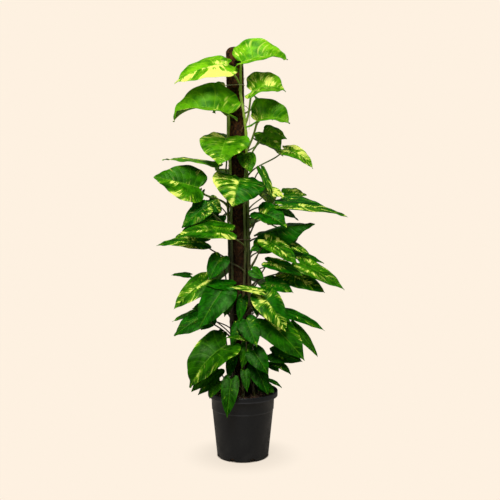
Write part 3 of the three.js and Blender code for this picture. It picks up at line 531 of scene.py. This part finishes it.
def wood_material():
    """Plain wood with an upright grain."""
    s = Shader(bpy.data.materials.new("stake_wood"))
    grain = s.noise(s.stretched(s.place(), (300.0, 300.0, 9.0)), 1.0, 4.0)
    colour = s.mix(s.smooth(grain, 0.35, 0.65), *SHADES["stake_wood"])
    return s.principled(Base_Color=colour, Roughness=0.65, Normal=s.bump(grain, 0.4 * MM, 0.6))


# ---------------------------------------------------------------- meshes


@dataclass
class Surface:
    """Points in millimetres and faces, with the two vectors per point that the plant's materials read."""

    points: np.ndarray
    faces: list
    place: np.ndarray = None
    look: np.ndarray = None


def joined(surfaces):
    """Several surfaces as one."""
    faces = []
    start = 0
    for surface in surfaces:
        faces.extend([tuple(corner + start for corner in face) for face in surface.faces])
        start += len(surface.points)
    points = np.concatenate([surface.points for surface in surfaces])
    if surfaces[0].place is None:
        return Surface(points, faces)
    place = np.concatenate([surface.place for surface in surfaces])
    look = np.concatenate([surface.look for surface in surfaces])
    return Surface(points, faces, place, look)


def added(name, data):
    """A new object in the scene."""
    item = bpy.data.objects.new(name, data)
    bpy.context.scene.collection.objects.link(item)
    return item


def piece(name, surface, material, replaces=(), smooth=True):
    """A named object of the plant, in metres, that rides on the frame."""
    mesh = bpy.data.meshes.new(name)
    mesh.from_pydata((surface.points * MM).tolist(), [], surface.faces)
    mesh.polygons.foreach_set("use_smooth", [smooth] * len(mesh.polygons))
    for key in ("place", "look"):
        values = getattr(surface, key)
        if values is not None:
            attribute = mesh.attributes.new(key, "FLOAT_VECTOR", "POINT")
            attribute.data.foreach_set("vector", values.astype(np.float32).ravel())
    mesh.materials.append(material)
    mesh.validate()
    item = added(name, mesh)
    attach(item, BODY)
    if replaces:
        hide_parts(*replaces)
    return item


def unit(vector):
    """A vector of length 1 in the same direction."""
    return vector / np.linalg.norm(vector)


def units(vectors):
    """Every row of an array as a unit vector."""
    return vectors / np.linalg.norm(vectors, axis=1)[:, None]


def circle(count):
    """Even angles round a full turn."""
    return np.linspace(0, 2 * math.pi, count, endpoint=False)


def travelled(path):
    """The way along a path from its start to each of its points."""
    return np.concatenate([[0], np.cumsum(np.linalg.norm(np.diff(path, axis=0), axis=1))])


def smoothstep(value, low, high):
    """Eases from 0 to 1 while the value goes from low to high."""
    share = np.clip((value - low) / (high - low), 0, 1)
    return share * share * (3 - 2 * share)


def hump(value, middle, width):
    """A bell curve that is 1 at its middle."""
    return np.exp(-(((value - middle) / width) ** 2))


def bezier(ends, count):
    """Points of a cubic curve."""
    share = np.linspace(0, 1, count)[:, None]
    rest = 1 - share
    a, b, c, d = ends
    return rest**3 * a + 3 * rest**2 * share * b + 3 * rest * share**2 * c + share**3 * d


def bands(rows, sides):
    """Faces between neighbouring rings of points."""
    faces = []
    for row in range(rows - 1):
        for k in range(sides):
            low, next_low = row * sides + k, row * sides + (k + 1) % sides
            faces.append((low, next_low, next_low + sides, low + sides))
    return faces


def spokes(across, other, sides):
    """Directions from every point of a path to the points of the ring round it."""
    angles = circle(sides)
    cosine, sine = np.cos(angles)[None, :, None], np.sin(angles)[None, :, None]
    return across[:, None, :] * cosine + other[:, None, :] * sine


def frames_along(centres):
    """Two directions across each point of a path, which don't spin along it."""
    along = units(np.gradient(centres, axis=0))
    across = np.empty_like(along)
    first = np.cross(along[0], [0.0, 1.0, 0.0])
    if np.linalg.norm(first) < 0.1:  # the path starts along Y
        first = np.cross(along[0], [1.0, 0.0, 0.0])
    across[0] = unit(first)
    for i in range(1, len(centres)):
        across[i] = unit(across[i - 1] - along[i] * (across[i - 1] @ along[i]))
    return across, np.cross(along, across)


def tube(centres, radii, sides, seed=0.0, look=(0, 0, 0), shape=None):
    """A closed round tube. shape(angles) scales its radius round the section."""
    count = len(centres)
    reach = radii[:, None] * (shape(circle(sides))[None, :] if shape else 1.0)
    points = (centres[:, None, :] + spokes(*frames_along(centres), sides) * reach[:, :, None]).reshape(-1, 3)
    faces = bands(count, sides)
    faces.append(tuple(range(sides - 1, -1, -1)))
    faces.append(tuple((count - 1) * sides + k for k in range(sides)))
    turn = np.cos(circle(sides)) + 2
    place = [np.repeat(travelled(centres), sides), np.tile(turn, count), np.full(count * sides, seed)]
    return Surface(points, faces, np.stack(place, axis=1), np.tile(np.array(look, float), (count * sides, 1)))


def ring_tube(centres, radius, sides):
    """A tube along a closed path that runs level round the pole."""
    along = units(np.roll(centres, -1, axis=0) - np.roll(centres, 1, axis=0))
    across = units(np.cross(along, [0.0, 0.0, 1.0]))
    ring = spokes(across, np.cross(across, along), sides)
    points = (centres[:, None] + radius * ring).reshape(-1, 3)
    faces = []
    for row in range(len(centres)):
        start, after = row * sides, (row + 1) % len(centres) * sides
        for k in range(sides):
            k_next = (k + 1) % sides
            faces.append((start + k, after + k, after + k_next, start + k_next))
    return Surface(points, faces)


def turned(profile, sides):
    """A surface turned from a profile of [radius, height] pairs whose two ends lie on the axis."""
    inner = np.array(profile[1:-1], float)
    ring = np.stack([np.cos(circle(sides)), np.sin(circle(sides))], axis=1)
    level = inner[:, 0][:, None, None] * ring[None, :, :]
    height = np.repeat(inner[:, 1], sides).reshape(len(inner), sides, 1)
    points = np.concatenate([level, height], axis=2).reshape(-1, 3)
    points = np.concatenate([points, [[0, 0, profile[0][1]], [0, 0, profile[-1][1]]]])
    faces = bands(len(inner), sides)
    first, last = len(points) - 2, len(points) - 1
    end = (len(inner) - 1) * sides
    for k in range(sides):
        faces.append((first, (k + 1) % sides, k))
        faces.append((last, end + k, end + (k + 1) % sides))
    return Surface(points, faces)


def arc(centre, radius, start, end):
    """Points of a round corner, as [radius, height]."""
    angles = np.radians(np.linspace(start, end, 5))
    return [[centre[0] + radius * math.cos(a), centre[1] + radius * math.sin(a)] for a in angles]


# ---------------------------------------------------------------- places round the pole


def outward(compass):
    """The level direction that leaves the pole at a compass angle in degrees."""
    angle = math.radians(compass)
    return np.array([math.sin(angle), -math.cos(angle), 0.0])


def pole_axis(height):
    """The middle of the leaning pole at a height."""
    return np.array([-POLE.lean * (height - POLE.lean_from), 0.0, height])


def compass_at(vine, height):
    """Where round the pole a stem is at a height."""
    heights, angles = zip(*vine["climb"])
    return float(np.interp(height, heights, angles))


def stem_at(vine, height):
    """The middle of a stem at a height."""
    spread = STEM_FOOT.spread * (1 - smoothstep(height, STEM_FOOT.bottom, STEM_FOOT.top))
    distance = POLE.radius + STEM.offset + STEM.radius + spread
    return pole_axis(height) + outward(compass_at(vine, height)) * distance


# ---------------------------------------------------------------- blades


class Leaf:
    """A leaf's directions, its arched rib, its sizes and its age."""

    def __init__(self, row):
        self.node, stalk_end, tip, self.width, (compass, rise), (droop, fold, twist), self.yellow = row
        self.base = np.array(stalk_end, float)
        span = np.array(tip, float) - self.base
        chord = np.linalg.norm(span)
        self.forward = span / chord
        facing = outward(compass) * math.cos(math.radians(rise))
        facing[2] = math.sin(math.radians(rise))
        self.up = unit(facing - self.forward * (facing @ self.forward))
        self.across = np.cross(self.forward, self.up)
        self.turn = math.radians(droop)
        self.radius = chord / (2 * math.sin(self.turn / 2))
        self.fold = math.radians(fold)
        self.twist = math.radians(twist)
        self.length = self.radius * self.turn
        self.seed = random.uniform(0, 1)
        fresh = smoothstep(self.node, *LEAF_AGE.fresh) + random.uniform(*LEAF_AGE.varies)
        self.fresh = float(np.clip(fresh, 0, 1))
        self.bark = float(1 - smoothstep(self.node, *LEAF_AGE.bark))

    def rib_at(self, share):
        """Points on the rib at shares of its length, with the directions up and across there."""
        half = self.turn / 2
        angle = half - self.turn * np.maximum(share, 0)
        cosine, sine = np.cos(angle)[:, None], np.sin(angle)[:, None]
        along = cosine * self.forward + sine * self.up
        above = cosine * self.up - sine * self.forward
        point = self.base + self.radius * (
            (math.sin(half) - sine) * self.forward + (cosine - math.cos(half)) * self.up
        )
        point = point + np.minimum(share, 0)[:, None] * self.length * along
        roll = (self.twist * (share - 0.5))[:, None]
        up = np.cos(roll) * above + np.sin(roll) * self.across
        across = np.cos(roll) * self.across - np.sin(roll) * above
        return point, up, across


def outline_at(row):
    """The outline at fractional rows, on a smooth curve through its points."""
    last = len(OUTLINE) - 1
    low = np.minimum(row.astype(int), last - 1)
    t = (row - low)[:, None]
    a = OUTLINE[np.maximum(low - 1, 0)]
    b = OUTLINE[low]
    c = OUTLINE[low + 1]
    d = OUTLINE[np.minimum(low + 2, last)]
    curve = b + 0.5 * t * (c - a + t * (2 * a - 5 * b + 4 * c - d + t * (3 * (b - c) + d - a)))
    return curve[:, 0], np.maximum(curve[:, 1], 0)


class Grid:
    """The points of a blade as rows from stalk to tip and columns from rib to margin, on both sides."""

    def __init__(self, rows):
        steps = np.linspace(1, len(OUTLINE) - 1, rows + 1)
        share, _ = outline_at(steps)
        self.row, self.ratio, self.side, self.faces = [], [], [], []
        known = {}

        def place(i, j, side):
            """The number of a point. The two sides share the points on the rib, and one at the stalk."""
            on_rib = j == 0 or i == rows
            at_stalk = on_rib and share[i] <= BLADE.rib_from
            key = (i, 0, 0) if on_rib else (i, j, side)
            if at_stalk:
                key = "stalk"
            if key not in known:
                known[key] = len(self.row)
                self.row.append(0.0 if at_stalk else steps[i])
                self.ratio.append(0.0 if on_rib else RATIOS[j])
                self.side.append(side)
            return known[key]

        for side in (-1, 1):
            for i in range(rows):
                for j in range(len(RATIOS) - 1):
                    ring = [place(i, j, side), place(i, j + 1, side)]
                    ring += [place(i + 1, j + 1, side), place(i + 1, j, side)]
                    corners = tuple(dict.fromkeys(ring if side > 0 else ring[::-1]))
                    if len(corners) > 2:
                        self.faces.append(corners)
        self.row, self.ratio, self.side = (np.array(values) for values in (self.row, self.ratio, self.side))
        half_edges = {(f[k], f[(k + 1) % len(f)]) for f in self.faces for k in range(len(f))}
        self.border = [(a, b) for a, b in half_edges if (b, a) not in half_edges]
        self.corners = np.array([f if len(f) == 4 else f + f[-1:] for f in self.faces])


GRIDS = {True: Grid(GRID.rows), False: Grid(GRID.small_rows)}


def wave_of(wave, half_width, grid, start):
    """How far a wave lifts each point of a blade. It grows towards the margin."""
    turn = wave.per_row * grid.row + wave.per_side * grid.side + start
    return wave.height * half_width * grid.ratio**wave.power * np.sin(turn)


def sheet_points(leaf, grid):
    """The middle sheet of a blade, and each point's share of the length and of half the width."""
    share, breadth = outline_at(grid.row)
    rib_share = np.maximum(0, (share - BLADE.rib_from) / (1 - BLADE.rib_from))
    along = rib_share + (share - rib_share) * grid.ratio**BLADE.bow
    point, up, across = leaf.rib_at(along)
    half_width = leaf.width / 2
    reach = breadth * grid.ratio * half_width
    wave = wave_of(WAVE, half_width, grid, leaf.node)
    ripple = wave_of(RIPPLE, half_width, grid, leaf.seed)
    soft = BLADE.soft * half_width
    rise = (np.sqrt(reach**2 + soft**2) - soft) * math.sin(leaf.fold)
    lift = rise - BLADE.curl * reach**2 / half_width + wave + ripple
    points = point + (grid.side * reach * math.cos(leaf.fold))[:, None] * across + lift[:, None] * up
    return points, along, grid.side * reach / half_width


def point_normals(points, corners):
    """Normals at the points of a sheet."""
    a, b, c, d = (points[corners[:, k]] for k in range(4))
    face = np.cross(c - a, d - b)
    normals = np.zeros_like(points)
    for k in range(4):
        np.add.at(normals, corners[:, k], face)
    return units(normals)


def relief(leaf, along, across):
    """How far the upper face and the lower face stand off the middle sheet, with the veins in them."""
    spread = np.abs(across)
    inside = np.clip(along, 0, 1)
    scale = leaf.width / 100
    fade = (1 - spread**3) * (1 - smoothstep(along, QUILT.fades_from, 1.0))
    fade = fade * smoothstep(spread, 0.0, QUILT.rises_to)
    fan = VEIN.fan * (1 - smoothstep(along, VEIN.fan_from, VEIN.fan_to))
    vein = (along - (VEIN.sweep - fan) * spread**VEIN.bend) * VEIN.count
    puff = 0.5 - 0.5 * np.cos(2 * math.pi * vein)
    quilt = QUILT.height * scale * fade * (puff - 0.5)
    thick = RIB.width * scale * (RIB.at_stalk - RIB.taper * inside) + RIB.least
    on_rib = hump(spread * leaf.width / 2, 0, thick)
    upper = BLADE.thickness / 2 + quilt - RIB.groove * scale * on_rib
    lower = BLADE.thickness / 2 - quilt + RIB.ridge * scale * on_rib * (1 - RIB.fading * inside)
    return upper, lower


def blade(leaf):
    """A blade with an upper and a lower face, closed round its margin."""
    grid = GRIDS[leaf.width >= GRID.large_from]
    points, along, across = sheet_points(leaf, grid)
    normals = point_normals(points, grid.corners)
    upper, lower = relief(leaf, along, across)
    count = len(points)
    both = np.concatenate([points + normals * upper[:, None], points - normals * lower[:, None]])
    faces = list(grid.faces)
    faces += [tuple(corner + count for corner in face[::-1]) for face in grid.faces]
    faces += [(b, a, a + count, b + count) for a, b in grid.border]
    place = np.stack([along, across, np.full(count, leaf.seed)], axis=1)
    yellow = np.interp(across, [-0.04, 0.04], leaf.yellow)
    look = np.stack([yellow, np.full(count, leaf.fresh), np.zeros(count)], axis=1)
    under = look + [0, 0, 1.0]
    return Surface(both, faces, np.concatenate([place, place]), np.concatenate([look, under]))


# ---------------------------------------------------------------- stalks, stems and roots


def stalk_section(angles):
    """Nearly round, with a shallow channel along one side."""
    return 1 - STALK.groove * hump(angles, math.pi / 2, STALK.groove_width)


def stalk(vine, leaf):
    """A leaf stalk from the stem to the underside of its blade, with a sheath and a knee at its two ends."""
    radius = PETIOLE.radius + PETIOLE.per_width * leaf.width
    root = stem_at(vine, leaf.node)
    reach = PETIOLE.reach * np.linalg.norm(leaf.base - root)
    course = PETIOLE_COURSE
    leaving = unit(np.array([0.0, 0.0, 1.0]) + course.out * outward(compass_at(vine, leaf.node)))
    arriving = course.up * leaf.up + course.forward * leaf.forward
    arriving = unit(arriving + np.array([0.0, 0.0, course.climb]))
    centres = bezier([root, root + leaving * reach, leaf.base - arriving * reach, leaf.base], STALK.steps)
    share = np.linspace(0, 1, STALK.steps)
    centres -= leaf.up * (radius * smoothstep(share, 0.9, 1.0))[:, None]
    radii = radius * (1 + SHEATH.swelling * (1 - smoothstep(share, 0, SHEATH.share)))
    radii *= 1 + KNEE.swelling * hump(share, KNEE.at, KNEE.length)
    point, up, _ = leaf.rib_at(np.linspace(STALK_END.start, 1, STALK_END.steps) * PETIOLE.under)
    thin = radius * np.linspace(STALK_END.radius, PETIOLE.thinning, STALK_END.steps)
    centres = np.concatenate([centres, point - up * thin[:, None]])
    radii = np.concatenate([radii, thin])
    look = (STALK.yellow * max(leaf.yellow), leaf.fresh, leaf.bark)
    return tube(centres, radii, STALK.sides, leaf.seed, look, stalk_section)


def stem(vine, leaves, seed):
    """A climbing stem with a ring at every node."""
    bottom = SOIL.top - STEM.depth
    top = vine["climb"][-1][0]
    heights = np.arange(bottom, top + 2, STEM_RING.step)
    centres = np.array([stem_at(vine, height) for height in heights])
    swelling = np.zeros(len(heights))
    for node in [leaf.node for leaf in leaves] + list(np.arange(SOIL.top + 20, top, NODE.spacing)):
        swelling = np.maximum(swelling, hump(heights, node, NODE.length))
    radii = np.interp(heights, [bottom, top], [STEM.radius, STEM.top_radius])
    radii = radii * (1 + NODE.swelling * swelling)
    radii[-len(STEM_RING.tip) :] *= STEM_RING.tip
    surface = tube(centres, radii, STEM_RING.sides, seed)
    fresh = smoothstep(heights, *STEM_AGE.fresh)
    bark = (1 - smoothstep(heights, *STEM_AGE.bark)) * STEM_AGE.most_bark
    look = np.stack([STEM_AGE.yellow * fresh, fresh, bark], axis=1)
    surface.look = np.repeat(look, STEM_RING.sides, axis=0)
    return surface


def clinging_root(vine, height, side):
    """A root that leaves a node and creeps down over the coir."""
    count = ROOT.steps
    length = random.uniform(*ROOT_PATH.length)
    share = np.linspace(0, 1, count)
    sweep = ROOT_PATH.start + share * random.uniform(*ROOT_PATH.sweep)
    compass = compass_at(vine, height) + side * sweep
    wander = np.cumsum(random.normal(0, ROOT_PATH.drift, count))
    centres = []
    for angle, down, drift in zip(compass, share * length, wander):
        distance = POLE.radius + ROOT_PATH.off + ROOT_PATH.arch * math.sin(math.pi * down / length)
        centres.append(pole_axis(height - down) + outward(angle + drift) * distance)
    centres[0] = stem_at(vine, height)
    radii = ROOT.radius * np.linspace(1.0, ROOT.tip, count) * random.uniform(*ROOT.varies)
    return tube(np.array(centres), radii, ROOT.sides, random.uniform(0, 9), (0, 0, 1))


def free_root(vine):
    """A root that found no hold and hangs beside the pole."""
    ends = [stem_at(vine, FREE_ROOT.height)] + [np.array(point, float) for point in FREE_ROOT.path]
    radii = ROOT.radius * np.linspace(1.1, 0.5, FREE_ROOT.steps)
    return tube(bezier(ends, FREE_ROOT.steps), radii, ROOT.sides, 0.0, (0, 0, 1))


def roots(vine):
    """The roots at the nodes of a stem."""
    top = vine["climb"][-1][0]
    surfaces = [free_root(vine)] if vine["name"] == FREE_ROOT.vine else []
    for node in np.arange(SOIL.top + 40, top - 10, NODE.spacing):
        for _ in range(random.integers(1, ROOT.per_node + 1)):
            surfaces.append(clinging_root(vine, node + random.uniform(-3, 3), random.choice([-1, 1])))
    return joined(surfaces)


# ---------------------------------------------------------------- pot, soil, pole and ties


def pot_surface():
    """The pot's wall, from the middle of its underside round the rim to the middle of its floor."""
    edge, wall, height = POT.edge, POT.wall, POT.height
    rim, neck, step, foot = POT.rim_radius, POT.neck_radius, POT.step_radius, POT.foot_radius
    rim_bottom = height - POT.rim_depth
    rim_inside = rim - 2 * wall
    ledge = step + POT.step_width
    ledge_height = POT.step_height
    profile = [[0, 0], [foot - 12, 0]]
    profile += arc((foot - edge, edge), edge, -90, 0)
    profile += [[step - 0.15, ledge_height - 3], [step, ledge_height - edge]]
    profile += [[step + 0.9, ledge_height - 0.9], [ledge, ledge_height], [ledge + 0.1, ledge_height + 3]]
    profile += [[neck, rim_bottom - 1], [neck + 0.8, rim_bottom]]
    profile += arc((rim - edge, rim_bottom + edge), edge, -90, 0)
    profile += arc((rim - edge, height - edge), edge, 0, 90)
    profile += arc((rim_inside + edge, height - edge), edge, 90, 180)
    profile += [[rim_inside - 1, rim_bottom + wall], [neck - wall, rim_bottom - 1]]
    profile += [[step - wall, ledge_height], [foot - wall + 0.2, POT.floor], [0, POT.floor]]
    return turned(profile, POT_MESH.sides)


def cut_drains(pot):
    """Cuts the arches round the foot."""
    radius = DRAIN.width / 2
    length = (DRAIN.outside - DRAIN.inside) * MM
    middle = (DRAIN.outside + DRAIN.inside) / 2 * MM
    for i in range(DRAIN.count):
        bpy.ops.mesh.primitive_cylinder_add(vertices=DRAIN.sides, radius=radius * MM, depth=length)
        cutter = bpy.context.object
        cutter.data.transform(Matrix.Diagonal((1, DRAIN.height / radius, 1, 1)))
        cutter.data.transform(Matrix.Rotation(math.pi / 2, 4, "X"))
        cutter.data.transform(Matrix.Translation((0, -middle, 0)))
        cutter.data.transform(Matrix.Rotation(2 * math.pi * (i + 0.5) / DRAIN.count, 4, "Z"))
        modifier = pot.modifiers.new("drain", "BOOLEAN")
        modifier.operation = "DIFFERENCE"
        modifier.object = cutter
        applied = bpy.data.meshes.new_from_object(pot.evaluated_get(bpy.context.evaluated_depsgraph_get()))
        pot.modifiers.clear()
        pot.data = applied
        bpy.data.objects.remove(cutter)
    shell = bmesh.new()
    shell.from_mesh(pot.data)
    bmesh.ops.remove_doubles(shell, verts=shell.verts, dist=POT_MESH.weld * MM)
    bmesh.ops.dissolve_degenerate(shell, edges=shell.edges, dist=POT_MESH.weld * MM)
    shell.to_mesh(pot.data)
    shell.free()


def lumpiness(point, lumps):
    """Smooth noise at a point, summed over pairs of a fineness and a height."""
    return sum(height * noise.noise(Vector(point) * fineness) for fineness, height in lumps)


def soil_surface():
    """The body of the potting mix, with a lumpy top."""
    gap, rings = EARTH.gap, EARTH.rings
    slope = (POT.neck_radius - POT.foot_radius) / (POT.height - POT.rim_depth)
    foot = POT.foot_radius - POT.wall - gap
    top = POT.neck_radius - POT.wall - gap
    profile = [[0, POT.floor + gap], [foot, POT.floor + gap]]
    profile += [[foot + slope * height, height] for height in (40, 80, 120, SOIL.top - 2)]
    for i in range(rings):
        share = 1 - i / rings
        profile.append([top * share, SOIL.top + SOIL.crown * (1 - share**2)])
    profile.append([0, SOIL.top + SOIL.crown])
    surface = turned(profile, EARTH.sides)
    for i, point in enumerate(surface.points):
        if point[2] > SOIL.top - 3:
            surface.points[i][2] += lumpiness(point, EARTH.lumps)
    return surface


def lump(size, flatness):
    """A rough little body round the origin: a dented icosahedron."""
    golden = (1 + math.sqrt(5)) / 2
    corners = np.array(
        [[-1, golden, 0], [1, golden, 0], [-1, -golden, 0], [1, -golden, 0]]
        + [[0, -1, golden], [0, 1, golden], [0, -1, -golden], [0, 1, -golden]]
        + [[golden, 0, -1], [golden, 0, 1], [-golden, 0, -1], [-golden, 0, 1]]
    )
    faces = [(0, 11, 5), (0, 5, 1), (0, 1, 7), (0, 7, 10), (0, 10, 11), (1, 5, 9), (5, 11, 4), (11, 10, 2)]
    faces += [(10, 7, 6), (7, 1, 8), (3, 9, 4), (3, 4, 2), (3, 2, 6), (3, 6, 8), (3, 8, 9), (4, 9, 5)]
    faces += [(2, 4, 11), (6, 2, 10), (8, 6, 7), (9, 8, 1)]
    points = corners / math.sqrt(1 + golden**2) * random.uniform(*LITTER.dents, (12, 1)) * size
    points *= [1, random.uniform(*LITTER.slimness), flatness]
    spin = np.linalg.qr(random.normal(size=(3, 3)))[0]
    spin *= np.sign(np.linalg.det(spin))
    return Surface(points @ spin.T, faces)


def scattered(kind):
    """Lumps strewn over the soil, between the pole and the pot's wall."""
    surfaces = []
    inside = POT.neck_radius - POT.wall - LITTER.margin
    for _ in range(kind.count):
        distance = math.sqrt(random.uniform(POLE.radius**2, inside**2))
        angle = random.uniform(0, 2 * math.pi)
        body = lump(random.uniform(*kind.size), kind.flatness)
        crown = SOIL.crown * (1 - (distance / POT.neck_radius) ** 2)
        height = SOIL.top + crown + random.uniform(0, LITTER.pile)
        body.points += [distance * math.cos(angle), distance * math.sin(angle), height]
        surfaces.append(body)
    return joined(surfaces)


def coir_surface():
    """The pole's felted body, lumpy, with a rounded top."""
    radius = POLE.radius - COIR.inset
    shoulder = POLE.top - POLE.dome
    profile = [[0, POLE.bottom]]
    profile += [[radius, height] for height in np.arange(POLE.bottom, shoulder, COIR.step)]
    for degrees in (0, 12, 25, 38, 50, 62, 74, 84):
        angle = math.radians(degrees)
        profile.append([radius * math.cos(angle) ** 0.8, shoulder + POLE.dome * math.sin(angle)])
    profile.append([0, POLE.top - 0.2])
    surface = turned(profile, COIR.sides)
    for i, point in enumerate(surface.points):
        level = Vector((point[0], point[1], 0.0)).normalized()
        surface.points[i] += np.array(level) * COIR.relief * lumpiness(point, COIR.lumps)
    surface.points[:, 0] -= POLE.lean * (surface.points[:, 2] - POLE.lean_from)
    return surface


def coir_fibres():
    """Loose strands over the pole, lying every way but mostly upright."""
    lowest, highest = POLE.bottom + FIBRE_LIE.above_bottom, POLE.top - FIBRE_LIE.below_top
    shoulder = POLE.top - POLE.dome
    surfaces = []
    for _ in range(FIBRE.count):
        length = random.uniform(*FIBRE.length)
        height = random.uniform(lowest, highest)
        compass = random.uniform(0, 360)
        slope = random.normal(0, FIBRE_LIE.slope)
        bend = random.normal(0, FIBRE_LIE.bend)
        lift = abs(random.normal(0, FIBRE_LIE.lift))
        lift *= FLAT_FIBRE.lift if random.random() < FLAT_FIBRE.share else 1.0
        centres = []
        for share in np.linspace(-0.5, 0.5, FIBRE.steps):
            level = height + share * length * math.cos(slope + bend * share)
            aside = share * length * math.sin(slope + bend * share)
            angle = compass + math.degrees(aside / POLE.radius)
            over = max(0.0, (level - shoulder) / POLE.dome)
            radius = POLE.radius * math.sqrt(max(0.0, 1 - min(over, 1.0) ** 2))
            level = min(level, POLE.top + 0.5)
            centres.append(pole_axis(level) + outward(angle) * (radius + lift * (2 * share) ** 2))
        radii = np.full(FIBRE.steps, random.uniform(*FIBRE.radius))
        surfaces.append(tube(np.array(centres), radii, FIBRE.sides))
    surface = joined(surfaces)
    return Surface(surface.points, surface.faces)


def tie_loop(node):
    """The middle of a tie's taut band, at even steps round the pole."""
    corners = np.array([vertex.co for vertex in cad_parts[node].data.vertices]) / MM
    centre = corners.mean(axis=0)
    turns = circle(TIE.steps)
    looks = np.stack([np.cos(turns), np.sin(turns)])
    furthest = np.argmax((corners - centre)[:, :2] @ looks, axis=0)
    kept = [pick for pick, before in zip(furthest, np.roll(furthest, 1)) if pick != before]
    bends = corners[kept + kept[:1]]
    way = travelled(bends[:, :2])
    at = np.linspace(0, way[-1], TIE.steps, endpoint=False)
    x, y = (np.interp(at, way, bends[:, axis]) for axis in (0, 1))
    loop = np.stack([x, y, np.full(TIE.steps, centre[2])], axis=1)
    for _ in range(TIE.rounding):
        loop = (np.roll(loop, 1, axis=0) + loop + np.roll(loop, -1, axis=0)) / 3
    return loop, centre


def twisted_tie(node):
    """Two strands laid round each other along a tie's band."""
    loop, centre = tie_loop(node)
    out = units(loop - centre)
    surfaces = []
    for strand in (0, math.pi):
        turn = np.linspace(0, 2 * math.pi * TIE.twists, TIE.steps, endpoint=False) + strand
        centres = loop + out * (TIE.lay * np.cos(turn) - TIE.inset)[:, None]
        centres[:, 2] += TIE.lay * np.sin(turn)
        surfaces.append(ring_tube(centres, TIE.strand, TIE.around))
    return joined(surfaces)


# ---------------------------------------------------------------- the plant

foliage = leaf_material()
stalks = stalk_material()
bark = fibrous_material("aerial_root")
coir = fibrous_material("coir")
earth = earth_material("potting_mix")

for number, vine in enumerate(VINES):
    name = vine["name"]
    leaves = [Leaf(row) for row in vine["leaves"]]
    blades = piece(name + "_leaves", joined([blade(leaf) for leaf in leaves]), foliage, [name])
    blades.data.set_sharp_from_angle(angle=math.radians(SHARP_DEGREES.blade))
    woody = [stem(vine, leaves, number)] + [stalk(vine, leaf) for leaf in leaves]
    piece(name + "_stem", joined(woody), stalks, [name])
    piece(name + "_roots", roots(vine), bark)

piece("coir_pole", coir_surface(), coir, ["coir_sleeve"])
piece("coir_fibres", coir_fibres(), coir)
piece("potting_mix", soil_surface(), earth, ["soil"])
piece("soil_crumbs", scattered(CRUMB), earth)
piece("bark_chips", scattered(CHIP), earth_material("bark_chips"), smooth=False)
piece("perlite_grains", scattered(PERLITE), earth_material("perlite"))

pot = piece("nursery_pot", pot_surface(), plastic_material(), ["pot"])
cut_drains(pot)
pot.data.polygons.foreach_set("use_smooth", [True] * len(pot.data.polygons))
pot.data.set_sharp_from_angle(angle=math.radians(SHARP_DEGREES.pot))

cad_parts["pole_core"].data.materials.clear()
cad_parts["pole_core"].data.materials.append(wood_material())
new_twine = twine_material("twine")
old_twine = twine_material("old_twine")
for node, twine in (("tie_top", new_twine), ("tie_middle", old_twine), ("tie_low", old_twine)):
    piece(node + "_twine", twisted_tie(node), twine, [node])

# ---------------------------------------------------------------- camera, floor and light

lens = bpy.data.cameras.new("camera")
lens.sensor_width = CAMERA.sensor
lens.lens = CAMERA.focal / CAMERA.picture * CAMERA.sensor
camera = added("camera", lens)
camera.location = CAMERA.place
camera.rotation_euler = (math.radians(90 - CAMERA.down), 0, 0)
bpy.context.scene.camera = camera

for name, place, level, size, power, colour, highlights in LAMPS:
    lamp = bpy.data.lights.new(name, "AREA")
    lamp.shape = "DISK"
    lamp.size = size
    lamp.energy = power
    lamp.color = colour
    light = added(name, lamp)
    light.location = place
    light.rotation_euler = (Vector((0, 0, level)) - Vector(place)).to_track_quat("-Z", "Y").to_euler()
    light.visible_camera = False
    light.visible_glossy = highlights


def floor_material():
    """A floor that the camera sees as plain cream, with only a little of the lamps' light and shadow."""
    s = Shader(bpy.data.materials.new("floor"))
    x, y, _ = s.parts(s.place())
    distance = s.math("SQRT", s.math("ADD", s.times(x, x), s.times(y, y)))
    under = s.smooth(distance, 0.068, 0.074, 1.0, 0.0)
    near = s.math("MAXIMUM", under, s.smooth(distance, 0.07, 0.18, 0.2, 0.0))
    plain = s.add("ShaderNodeEmission", {"Color": CREAM, "Strength": 1.0}).outputs[0]
    lit = s.add("ShaderNodeBsdfDiffuse", {"Color": FLOOR.colour}).outputs[0]
    both = s.add("ShaderNodeMixShader", {0: near, 1: plain, 2: lit}).outputs[0]
    seen = s.add("ShaderNodeLightPath").outputs["Is Camera Ray"]
    surface = s.add("ShaderNodeMixShader", {0: seen, 1: lit, 2: both}).outputs[0]
    s.add("ShaderNodeOutputMaterial", {"Surface": surface})
    return s.owner


floor_mesh = bpy.data.meshes.new("floor")
floor_corners = [(x * FLOOR.reach, y * FLOOR.reach, 0) for x, y in ((-1, -1), (1, -1), (1, 1), (-1, 1))]
floor_mesh.from_pydata(floor_corners, [], [(0, 1, 2, 3)])
floor_mesh.materials.append(floor_material())
floor = added("floor", floor_mesh)
floor.location.z = -FLOOR.drop

world = Shader(bpy.data.worlds.new("studio"))
seen = world.add("ShaderNodeLightPath").outputs["Is Camera Ray"]
backdrop = world.add("ShaderNodeBackground", {"Color": CREAM, "Strength": 1.0}).outputs[0]
air = world.add("ShaderNodeBackground", {"Color": AIR.colour, "Strength": AIR.strength}).outputs[0]
sky = world.add("ShaderNodeMixShader", {0: seen, 1: air, 2: backdrop}).outputs[0]
world.add("ShaderNodeOutputWorld", {"Surface": sky})
bpy.context.scene.world = world.owner
bpy.context.scene.view_settings.view_transform = "Standard"
